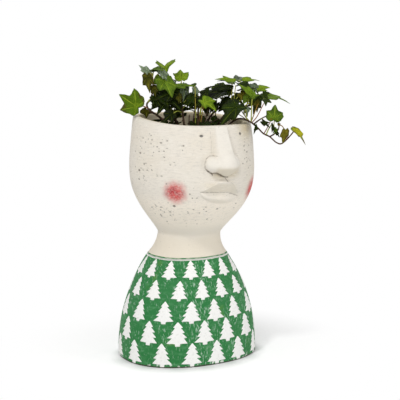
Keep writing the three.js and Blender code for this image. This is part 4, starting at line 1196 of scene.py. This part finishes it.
# short bare shoots at the compost: root, tip
bareShoots = [
    [[-4, -22], [-3, -26, 27]], [[0, -16], [4, -18, 36]], [[2, -28], [8, -34, 15]],
    [[10, -26], [13, -30, 25]], [[16, -22], [24, -26, 18]], [[6, -14], [33, -18, 22]],
    [[12, -18], [20, -20, 33]], [[-2, -20], [-12, -24, 20]], [[6, -20], [8, -24, 34]],
]
# long stalks that stand free: root, bend, tip and how reddish
freeStalks = [
    [[4, -17, -3], [4.5, -19, 30], [4, -12, 60], 0.2], [[10, -22, -3], [11, -24, 18], [15, -25, 42], 0.4],
    [[26, 2, 10], [30, -2, 30], [31, -4, 45], 0.3], [[44, -4, 24], [48, -6, 40], [50, -6, 58], 0.2],
    [[50, -2, 30], [52, -6, 44], [54, -6, 62], 0.2], [[73, -26, 17], [79, -24, 24], [88, -16, 40], 0.9],
    [[72, -26, 18], [76, -24, 28], [81, -18, 40], 0.5], [[71, -25, 18], [64, -22, 26], [58, -18, 36], 0.2],
    [[69, -25, 19], [64, -24, 27], [66, -20, 34], 0.1], [[68, -24, 19], [62, -22, 24], [57, -20, 27], 0.2],
    [[88, -25, 4], [92, -25, 11], [97, -24, 22], 1.0],
    [[100, -23, 13], [100.5, -22, 17], [101, -21, 23], 0.2],
    [[106, -20, 15], [111, -20, 12], [114, -22, 5], 0.5],
]
# low leaves about them, mostly dark to paint the shade low in the pot: place of the joint, blade, width,
# facing, tone
lowLeaves = [
    [[-22, -26, 12], [-12, -4, 2], 12, [0, -0.8, 0.5], "dark"],
    [[-30, -20, 16], [-9, -6, -5], 13, [-0.2, -0.8, 0.5], "dark"],
    [[4, -27, 13], [-10, -5, 1], 11, [0, -0.8, 0.6], "dark"],
    [[10, -30, 12], [9, -5, 2], 11, [0, -0.8, 0.6], "dark"],
    [[20, -26, 14], [10, -6, -2], 12, [0.2, -0.8, 0.6], "dark"],
    [[14, -18, 19], [-10, -4, 3], 13, [0, -0.9, 0.4], "dark"],
    [[26, -14, 19], [9, -4, 2], 13, [0.1, -0.9, 0.4], "dark"],
    [[2, -14, 18], [8, -5, -6], 13, [0, -0.9, 0.4], "dark"],
    [[16, -30, 9], [-7, -4, -2], 12, [0, -0.8, 0.6], "dark"],
    [[28, -28, 10], [8, -3, -1], 11, [0.1, -0.8, 0.6], "dark"],
    [[-24, -30, 9], [-10, -3, -1], 11, [0, -0.8, 0.6], "dark"],
    [[-46, -8, 16], [-10, -4, -2], 11, [-0.3, -0.6, 0.7], "olive"],
    [[18, 12, 14], [12, 10, -4], 14, [0.2, 0.4, 0.9], "dark"],
    [[-18, 16, 14], [-10, 12, -4], 14, [-0.2, 0.4, 0.9], "dark"],
    [[0, 28, 13], [2, 12, -4], 14, [0, 0.5, 0.9], "dark"],
    [[34, 8, 13], [12, 6, -3], 13, [0.3, 0.2, 0.9], "olive"],
    [[-36, 6, 13], [-12, 6, -3], 13, [-0.3, 0.2, 0.9], "dark"],
]
undergrowth = {
    "shootRoot": -4, "shootBend": 0.45, "shootArch": 2, "shootRadii": (1.1, 0.6), "shootSteps": 8,
    "stalkRadii": (0.65, 0.5), "stalkSteps": 10, "sides": 8, "leafRootShare": 0.8, "leafRoot": -2,
}


# shoots and free stalks are tubes along curves, and the low leaves start in the compost
def makeUndergrowth(finishes, bark):
    u = undergrowth
    shoots = []
    for root, tip in bareShoots:
        bend = mix(np.array([*root, 0.0]), np.array(tip, float), u["shootBend"]) + [0, 0, u["shootArch"]]
        path = curveThrough([[*root, u["shootRoot"]], bend, tip], u["shootSteps"])
        shoots.append(tubePart(path, np.linspace(*u["shootRadii"], len(path)), u["sides"]))
    points, faces = joinParts(shoots)
    layers = {"tip": np.zeros(len(points))}
    makePiece("bare_shoots", plantPoints(points), faces, bark, "plant", (), layers)
    stalks, reds = [], []
    for root, bend, tip, red in freeStalks:
        path = curveThrough([root, bend, tip], u["stalkSteps"])
        stalks.append(tubePart(path, np.linspace(*u["stalkRadii"], len(path)), u["sides"]))
        reds.append(np.full(len(stalks[-1][0]), red))
    points, faces = joinParts(stalks)
    layers = {"stalk": np.ones(len(points)), "tint": np.zeros(len(points)), "scorch": np.concatenate(reds)}
    makePiece("free_stalks", plantPoints(points), faces, finishes["lime"], "plant", (), layers)
    for number, (joint, blade, width, facing, tone) in enumerate(lowLeaves, 1):
        x, y = joint[:2]
        root = np.array([u["leafRootShare"] * x, u["leafRootShare"] * y, u["leafRoot"]])
        part = leafPart(root, np.array(joint) - root, blade, width, facing)
        placeLeaf("low_leaf", number, tone, part, finishes)
    print("undergrowth made:", len(lowLeaves))


# finishes, in metres: a noise is its scale, detail and roughness; patches are the scale and detail of their
# noise, where they start and are full, and their share; other pairs are a range, or a least amount and
# what is added to it

cement = {
    "roughness": 0.88, "gloss": 0.2, "pale": paint(0.79, 0.74, 0.655), "bright": paint(0.86, 0.82, 0.745),
    # jaw: painted light, a lighter tone where the jaw turns under into shade
    "warm": paint(0.75, 0.68, 0.56), "jaw": paint(0.93, 0.85, 0.735), "dull": paint(0.62, 0.585, 0.52),
    # stain tint: a stain below the right brow, also used as painted shade under the nose and on the upper
    # lip
    "stainShadeTint": paint(0.57, 0.48, 0.30), "inside": paint(0.98, 0.86, 0.63),
    "deepInside": paint(0.60, 0.50, 0.36), "warmPatches": (22, 4, 0.42, 0.72, 0.5),
    "neckEnd": (0.145, 0.165), "neckShare": 0.7, "jawLightStart": (0.160, 0.178), "jawLightEnd": (0.196, 0.216),
    "jawPaintedLightShare": 0.85, "stainAndShadeShare": 0.9, "noseLighterShare": 0.6, "insideLightNoise": (45, 3), "insideLightSway": 0.03,
    # inside: painted light, lighter than the cement on the upper inner wall of the cup; deepInside: darker
    # lower down
    "insideLightStart": (0.232, 0.258),
    # the cast skin
    "castStart": (0.165, 0.185), "noseStreakCalm": 0.7, "streak": (1.0, 4, 0.6), "streakWays": (150, 150, 620),
    "streakDull": (0.50, 0.74), "streakShare": (0.06, 0.55), "streakBright": (0.28, 0.46),
    "brightShare": 0.6, "grain": (620, 3, 0.6), "grainDull": (0.52, 0.74), "grainShare": (0.05, 0.38),
    "bumpStreak": 0.35, "bumpGrain": 0.3, "bumpHoles": 0.8, "bumpDepth": 0.0008, "bumpStrength": 0.6,
    # pits and specks
    "warp": (260, 2), "warpSize": (0.006, 0.006, 0.003), "pitScale": 330, "pitWays": (0.75, 0.75, 1.15),
    "pitEdge": (0.16, 0.38), "pitGain": 1.5, "pitKept": (0.0, 0.15), "pitShare": 0.75, "speckScale": 150,
    "speckEdge": (0.05, 0.11), "speckPlaces": (40, 2, 0.5, 0.62, 0.45),
    "spots": {
        "pore": {"colour": paint(0.17, 0.152, 0.125), "ragged": 0.8, "edge": (0.35, 1.0), "share": 0.9},
        "eye": {"colour": paint(0.10, 0.10, 0.105), "ragged": 0.5, "edge": (0.3, 0.95), "share": 0.85},
    },
    "grimeAndCreaseShade": paint(0.095, 0.070, 0.048), "grimeShadeRagged": (330, 3, 0.38, 0.58), "grimeShadeDensity": (0.72, 0.32),
    "grimeShadeEdge": (0.12, 0.95), "grimeShadeShare": 0.9,
    # blush on the cheeks and the line at the collar
    "blush": paint(0.62, 0.085, 0.085), "deepBlush": paint(0.44, 0.035, 0.045), "blushAngle": 45,
    "blushHeight": 215, "blushEdge": (0.00432, 0.01944), "blushNoise": (140, 2), "blushSway": 0.006,
    "blushDeep": (190, 3, 0.42, 0.62), "blushGrains": (480, 3, 0.30, 0.62), "blushShare": (0.66, 0.32),
    "lineNoise": (60, 2), "lineSway": 0.0012, "lineGreen": paint(0.035, 0.19, 0.06),
    "greenEnd": (0.1298, 0.1304), "greenShare": (0.55, 0.45), "sketch": (1.0, 3),
    "sketchWays": (120, 120, 900), "sketchEdge": (0.40, 0.52), "lineWhite": paint(0.86, 0.86, 0.82),
    "whiteEnd": (0.1285, 0.1288),
}


# pits: cells of a warped field, each kept where its own chance is under the pitted share; loose specks
def cementHoles(f):
    c = cement
    values = {0: f.noise(*c["warp"], out="Color"), 1: c["warpSize"], 2: f.place}
    warped = f.node("ShaderNodeVectorMath", {"operation": "MULTIPLY_ADD"}, values)
    flat = f.stretched(c["pitWays"], warped)
    tint = f.cells(c["pitScale"], out="Color", vector=flat)
    lot = f.node("ShaderNodeSeparateColor", None, {0: tint}, "Red")
    kept = (f.layer("pitted") * c["pitGain"] - lot).rise(*c["pitKept"])
    pits = f.cells(c["pitScale"], vector=flat).fall(*c["pitEdge"]) * kept
    specks = f.cells(c["speckScale"]).fall(*c["speckEdge"]) * f.patches(*c["speckPlaces"])
    return (pits * c["pitShare"]).larger(specks)


# a round blush on each cheek, ragged at its edge and grainy
def addBlush(f, colour):
    c = cement
    grains = f.patches(*c["blushGrains"])
    rouge = f.blend(c["blush"], c["deepBlush"], f.patches(*c["blushDeep"]))
    for degrees in (-c["blushAngle"], c["blushAngle"]):
        middle = skinPoints(np.radians([degrees]), np.array([c["blushHeight"]]))[0]
        away = f.distanceFrom(middle) + f.noise(*c["blushNoise"]).sway(c["blushSway"])
        colour = f.blend(colour, rouge, away.fall(*c["blushEdge"]) * grains.spread(*c["blushShare"]))
    return colour


# cast cement: tones by height with painted light under the jaw, a stain and painted shade on the face,
# streaks, grain, pits, blush, the line at the collar, painted light inside the cup, pores, eyes, and grime
# with painted crease shade
def cementFinish():
    c = cement
    f = Finish("cast_cement", c["roughness"], c["gloss"])
    height, noseLighter, stainAndShade = f.along("Z"), f.layer("noseLighter"), f.layer("stainAndShade")
    colour = f.blend(c["pale"], c["warm"], f.patches(*c["warmPatches"]))
    colour = f.blend(colour, c["warm"], height.fall(*c["neckEnd"]) * c["neckShare"])
    # painted light under the jaw
    jaw = height.rise(*c["jawLightStart"]) * height.fall(*c["jawLightEnd"])
    colour = f.blend(colour, c["jaw"], jaw * c["jawPaintedLightShare"])
    # a stain below the right brow, and painted shade under the nose and on the upper lip
    colour = f.blend(colour, c["stainShadeTint"], stainAndShade * c["stainAndShadeShare"])
    # lighter where the nose stands out
    colour = f.blend(colour, c["bright"], noseLighter * c["noseLighterShare"] * (1 - stainAndShade))

    # level streaks and grain, faint on the neck and where the nose stands out
    cast = height.rise(*c["castStart"]) * (1 - noseLighter * c["noseStreakCalm"])
    streak = f.noise(*c["streak"], f.stretched(c["streakWays"]))
    grain = f.noise(*c["grain"])
    colour = f.blend(colour, c["dull"], streak.rise(*c["streakDull"]) * cast.spread(*c["streakShare"]))
    colour = f.blend(colour, c["bright"], streak.fall(*c["streakBright"]) * cast * c["brightShare"])
    colour = f.blend(colour, c["dull"], grain.rise(*c["grainDull"]) * cast.spread(*c["grainShare"]))
    holes = cementHoles(f)
    colour = f.blend(colour, c["spots"]["pore"]["colour"], holes)
    colour = addBlush(f, colour)

    line = height + f.noise(*c["lineNoise"]).sway(c["lineSway"])
    sketchy = f.noise(*c["sketch"], vector=f.stretched(c["sketchWays"])).rise(*c["sketchEdge"])
    colour = f.blend(colour, c["lineGreen"], line.fall(*c["greenEnd"]) * sketchy.spread(*c["greenShare"]))
    colour = f.blend(colour, c["lineWhite"], line.fall(*c["whiteEnd"]))
    # inside the cup: painted light lifts the upper wall above the cement's own tone, and the wall is darker
    # lower down
    insideLightHeight = height + f.noise(*c["insideLightNoise"]).sway(c["insideLightSway"])
    paintedInsideLight = f.blend(c["deepInside"], c["inside"], insideLightHeight.rise(*c["insideLightStart"]))
    colour = f.blend(colour, paintedInsideLight, f.layer("inside"))
    for name, spot in c["spots"].items():
        dark = (f.layer(name) + grain.sway(spot["ragged"])).rise(*spot["edge"])
        colour = f.blend(colour, spot["colour"], dark * spot["share"])
    # grime, and painted shade in the creases of the nostril, the nose's wing and bridge, and the mouth
    grimeAndCreaseShade = f.layer("grimeAndCreaseShade") * f.patches(*c["grimeShadeRagged"]).spread(*c["grimeShadeDensity"])
    f.put("Base Color", f.blend(colour, c["grimeAndCreaseShade"], grimeAndCreaseShade.rise(*c["grimeShadeEdge"]) * c["grimeShadeShare"]))
    relief = streak * c["bumpStreak"] + grain * c["bumpGrain"] - holes * c["bumpHoles"]
    f.bump(relief, c["bumpDepth"], c["bumpStrength"])
    return f


torsoPaint = {
    "roughness": 0.6, "gloss": 0.22, "green": paint(0.022, 0.178, 0.046),
    "light": paint(0.075, 0.27, 0.105), "yellow": paint(0.115, 0.27, 0.04),
    "scratch": paint(0.46, 0.62, 0.50), "white": paint(0.86, 0.86, 0.82),
    # edge: painted shade along the foot's bottom edge
    "edge": paint(0.055, 0.045, 0.035), "inside": paint(0.36, 0.31, 0.25), "brush": (1.0, 4),
    "brushWays": (90, 90, 260), "brushLight": (0.47, 0.72), "brushShare": 0.75,
    "yellowPlaces": (24, 3, 0.60, 0.74), "yellowFlecks": (160, 3, 0.42, 0.6, 0.7),
    "scratches": (1.0, 4, 0.6), "scratchWays": (620, 240, 170), "scratchTurn": -0.8,
    "scratchEdge": (0.55, 0.68), "scratchPatches": (34, 2, 0.44, 0.62), "scratchShare": (0.18, 0.72),
    "wornMiddle": -0.018, "wornHalf": (0.006, 0.020), "wornMore": 0.022, "wornShare": 0.78,
    "wander": (60, 2), "wanderSize": 0.0012, "collarStart": (0.1268, 0.1270),
    "chips": (190, 3, 0.57, 0.63, 0.8), "chipWander": 4, "chipEnd": (0.0030, 0.0065),
    "bottomShadeEnd": (0.0010, 0.0024), "bottomShadeShare": 0.9, "sheenNoise": (50, 3), "sheenSpread": (0.48, 0.25),
    "fine": (500, 3), "bumpScratch": 0.4, "bumpFine": 0.6, "bumpDepth": 0.0005, "bumpStrength": 0.4,
}


# brushed green paint, yellowed here and there, scratched and chipped, with painted shade along the foot's
# bottom edge
def torsoFinish():
    t = torsoPaint
    f = Finish("green_paint", t["roughness"], t["gloss"])
    height = f.along("Z")
    brush = f.noise(*t["brush"], vector=f.stretched(t["brushWays"]))
    colour = f.blend(t["green"], t["light"], brush.rise(*t["brushLight"]) * t["brushShare"])
    colour = f.blend(colour, t["yellow"], f.patches(*t["yellowPlaces"]) * f.patches(*t["yellowFlecks"]))

    # fine slanting scratches, in patches and in a worn band down the front
    across = f.along("X") - t["wornMiddle"]
    worn = (across * across).fall(*(half ** 2 for half in t["wornHalf"]))
    strokes = f.noise(*t["scratches"], f.stretched(t["scratchWays"], turn=(0, t["scratchTurn"], 0)))
    scratch = (strokes + worn * t["wornMore"]).rise(*t["scratchEdge"])
    share = f.patches(*t["scratchPatches"]).spread(*t["scratchShare"]).larger(worn * t["wornShare"])
    colour = f.blend(colour, t["scratch"], scratch * share)

    # bare white at the collar and in chips near the foot, and painted shade along the foot's bottom edge
    wander = f.noise(*t["wander"]).sway(t["wanderSize"])
    colour = f.blend(colour, t["white"], (height + wander).rise(*t["collarStart"]))
    low = (height + wander * t["chipWander"]).fall(*t["chipEnd"])
    colour = f.blend(colour, t["white"], f.patches(*t["chips"]) * low)
    # painted shade: the foot's bottom edge is darkened
    colour = f.blend(colour, t["edge"], (height + wander).fall(*t["bottomShadeEnd"]) * t["bottomShadeShare"])
    f.put("Base Color", f.blend(colour, t["inside"], f.layer("inside")))
    f.put("Roughness", f.noise(*t["sheenNoise"]).spread(*t["sheenSpread"]))
    relief = scratch * t["bumpScratch"] + f.noise(*t["fine"]) * t["bumpFine"]
    f.bump(relief, t["bumpDepth"], t["bumpStrength"])
    return f


treePaint = {
    "roughness": 0.8, "gloss": 0.2, "white": paint(0.90, 0.895, 0.87), "thin": paint(0.72, 0.715, 0.69),
    "thinPatches": (420, 3, 0.5, 0.74, 0.5), "speck": paint(0.46, 0.42, 0.37),
    "speckPatches": (170, 3, 0.68, 0.74, 0.4), "fine": (700, 3), "bumpDepth": 0.0004, "bumpStrength": 0.5,
}


# white stencil paint, thin in places and specked
def treeFinish():
    t = treePaint
    f = Finish("white_stencil", t["roughness"], t["gloss"])
    colour = f.blend(t["white"], t["thin"], f.patches(*t["thinPatches"]))
    f.put("Base Color", f.blend(colour, t["speck"], f.patches(*t["speckPatches"])))
    f.bump(f.noise(*t["fine"]), t["bumpDepth"], t["bumpStrength"])
    return f


leafTones = {
    "lime": {"bright": paint(0.24, 0.36, 0.018), "deep": paint(0.068, 0.132, 0.003), "roughness": 0.42,
             "gloss": 0.06, "veinShare": 0.7},
    "mid": {"bright": paint(0.145, 0.245, 0.014), "deep": paint(0.032, 0.070, 0.004), "roughness": 0.40,
            "gloss": 0.07, "veinShare": 0.55},
    # dark: near-black green, which also paints the shade deep inside the foliage
    "dark": {"bright": paint(0.020, 0.040, 0.003), "deep": paint(0.0035, 0.008, 0.001), "roughness": 0.36,
             "gloss": 0.05, "veinShare": 0.2},
    # grey: a pale grey-green that paints the sky's reflection on upper leaves, besides a real higher gloss
    "grey": {"bright": paint(0.25, 0.33, 0.21), "deep": paint(0.018, 0.036, 0.012), "roughness": 0.34,
             "gloss": 0.34, "veinShare": 0.4},
    "olive": {"bright": paint(0.17, 0.145, 0.012), "deep": paint(0.028, 0.028, 0.003), "roughness": 0.50,
              "gloss": 0.04, "veinShare": 0.35},
}
leafMarks = {
    "vein": paint(0.42, 0.52, 0.05), "under": paint(0.10, 0.16, 0.03), "stalk": paint(0.34, 0.38, 0.06),
    "stalkRed": paint(0.27, 0.09, 0.018), "brown": paint(0.060, 0.028, 0.012),
    "yellow": paint(0.56, 0.48, 0.02), "blotch": (130, 4, 0.6), "blotchSway": 1.6, "tintDeep": 0.6,
    "marginDeep": 0.5, "veinBright": 0.3, "deepRange": (-0.05, 0.95), "netScale": 330,
    "netEdge": (0.01, 0.09), "netShare": 0.12, "veinEdge": (0.45, 0.95), "yellowFrom": (0.7, 1.0),
    "yellowPatches": (60, 2, 0.44, 0.60, 0.8), "edgeNoise": (210, 3), "edgeSway": 0.9, "edgeScorch": 0.15,
    "edgeRange": (0.80, 1.05), "burntPatches": (55, 2, 0.46, 0.58), "burntShare": (0.08, 0.85),
    "underShare": 0.6, "stalkNoise": (40, 2), "stalkMottle": 0.6, "stalkScorch": 0.7,
    "stalkRange": (0.2, 0.8), "sheenSpread": 0.3, "sheenLess": 0.15, "fine": (260, 2),
    "bumpNet": (0.0, 0.2), "bumpNetShare": 0.5, "bumpFine": 0.8, "bumpDepth": 0.0006, "bumpStrength": 0.8,
}


# a blade is bright along its veins and near the stalk and deeper towards the margin, which can be scorched
def leafFinish(name):
    tone, m = leafTones[name], leafMarks
    f = Finish("ivy_leaf_" + name, tone["roughness"], tone["gloss"])
    tint, margin, vein, scorch = (f.layer(layer) for layer in ("tint", "margin", "vein", "scorch"))
    blotch = f.noise(*m["blotch"])
    deep = blotch.sway(m["blotchSway"]) + tint * m["tintDeep"]
    deep = deep + margin * m["marginDeep"] - vein * m["veinBright"]
    colour = f.blend(tone["bright"], tone["deep"], deep.rise(*m["deepRange"]))
    net = f.cells(m["netScale"], "DISTANCE_TO_EDGE")
    veins = vein.rise(*m["veinEdge"]).larger(net.fall(*m["netEdge"]) * m["netShare"])
    colour = f.blend(colour, m["vein"], veins * tone["veinShare"])
    colour = f.blend(colour, m["yellow"], scorch.rise(*m["yellowFrom"]) * f.patches(*m["yellowPatches"]))
    edge = margin + f.noise(*m["edgeNoise"]).sway(m["edgeSway"]) + scorch * m["edgeScorch"]
    burnt = scorch * f.patches(*m["burntPatches"])
    colour = f.blend(colour, m["brown"], edge.rise(*m["edgeRange"]) * burnt.spread(*m["burntShare"]))
    colour = f.blend(colour, m["under"], f.layer("under") * m["underShare"])
    redness = f.noise(*m["stalkNoise"]) * m["stalkMottle"] + scorch * m["stalkScorch"]
    stalk = f.blend(m["stalk"], m["stalkRed"], redness.rise(*m["stalkRange"]))
    f.put("Base Color", f.blend(colour, stalk, f.layer("stalk")))
    f.put("Roughness", blotch.spread(tone["roughness"] - m["sheenLess"], m["sheenSpread"]))
    relief = net.rise(*m["bumpNet"]) * m["bumpNetShare"] - vein + f.noise(*m["fine"]) * m["bumpFine"]
    f.bump(relief, m["bumpDepth"], m["bumpStrength"])
    return f


barkLook = {
    "roughness": 0.75, "gloss": 0.15, "old": [paint(0.030, 0.016, 0.010), paint(0.085, 0.050, 0.030)],
    "oldNoise": (300, 3), "oldWays": (1, 1, 0.3),
    "young": [paint(0.055, 0.026, 0.012), paint(0.15, 0.075, 0.025)], "youngNoise": (160, 2),
    "youngFrom": (0.45, 1.0), "fine": (700, 3), "bumpDepth": 0.0004, "bumpStrength": 0.7,
}


# dark bark, lighter towards the young tips
def barkFinish():
    b = barkLook
    f = Finish("ivy_bark", b["roughness"], b["gloss"])
    old = f.blend(*b["old"], f.noise(*b["oldNoise"], vector=f.stretched(b["oldWays"])))
    young = f.blend(*b["young"], f.noise(*b["youngNoise"]))
    f.put("Base Color", f.blend(old, young, f.layer("tip").rise(*b["youngFrom"])))
    f.bump(f.noise(*b["fine"]), b["bumpDepth"], b["bumpStrength"])
    return f


soilLook = {
    "roughness": 0.95, "gloss": 0.2, "dark": paint(0.028, 0.018, 0.011),
    "brown": paint(0.085, 0.055, 0.034), "brownPatches": (260, 4, 0.35, 0.7),
    "fibre": paint(0.20, 0.14, 0.08), "fibreScale": 330, "fibreEdge": (0.62, 0.8), "fibreShare": 0.6,
    "fine": (520, 4), "bumpDepth": 0.0015, "bumpStrength": 0.9,
}


# dark compost with pale fibres
def soilFinish():
    s = soilLook
    f = Finish("compost", s["roughness"], s["gloss"])
    colour = f.blend(s["dark"], s["brown"], f.patches(*s["brownPatches"]))
    fibres = f.cells(s["fibreScale"]).rise(*s["fibreEdge"]) * s["fibreShare"]
    f.put("Base Color", f.blend(colour, s["fibre"], fibres))
    f.bump(f.noise(*s["fine"]), s["bumpDepth"], s["bumpStrength"])
    return f


moulded = {
    "plug_rubber": {"colour": paint(0.018, 0.018, 0.018), "worn": paint(0.05, 0.048, 0.045),
                    "roughness": 0.7},
    "grower_plastic": {"colour": paint(0.022, 0.021, 0.02), "worn": paint(0.07, 0.06, 0.05),
                       "roughness": 0.5},
}
mouldedSkin = {
    "gloss": 0.4, "wornPatches": (70, 4, 0.5, 0.8, 0.6), "sheenNoise": (120, 3), "sheenLess": 0.12,
    "sheenSpread": 0.25, "fine": (1100, 2), "bumpDepth": 0.0002, "bumpStrength": 0.4,
}


# black rubber and plastic, a little worn
def mouldedFinish(name):
    look, skin = moulded[name], mouldedSkin
    f = Finish(name, look["roughness"], skin["gloss"])
    f.put("Base Color", f.blend(look["colour"], look["worn"], f.patches(*skin["wornPatches"])))
    sheen = f.noise(*skin["sheenNoise"])
    f.put("Roughness", sheen.spread(look["roughness"] - skin["sheenLess"], skin["sheenSpread"]))
    f.bump(f.noise(*skin["fine"]), skin["bumpDepth"], skin["bumpStrength"])
    return f


makeStudio()
makeHead(cementFinish())
makeTorso(torsoFinish())
makeTrees(treeFinish())
makePlug(mouldedFinish("plug_rubber"))
makeGrowerPot(mouldedFinish("grower_plastic"))
makeSoil(soilFinish())
curves = stemCurves()
bark = barkFinish()
makeStems(bark, curves)
leafFinishes = {tone: leafFinish(tone) for tone in leafTones}
makeLeaves(leafFinishes, curves)
makeInnerLeaves(leafFinishes, curves)
makeUndergrowth(leafFinishes, bark)

bpy.context.view_layer.update()
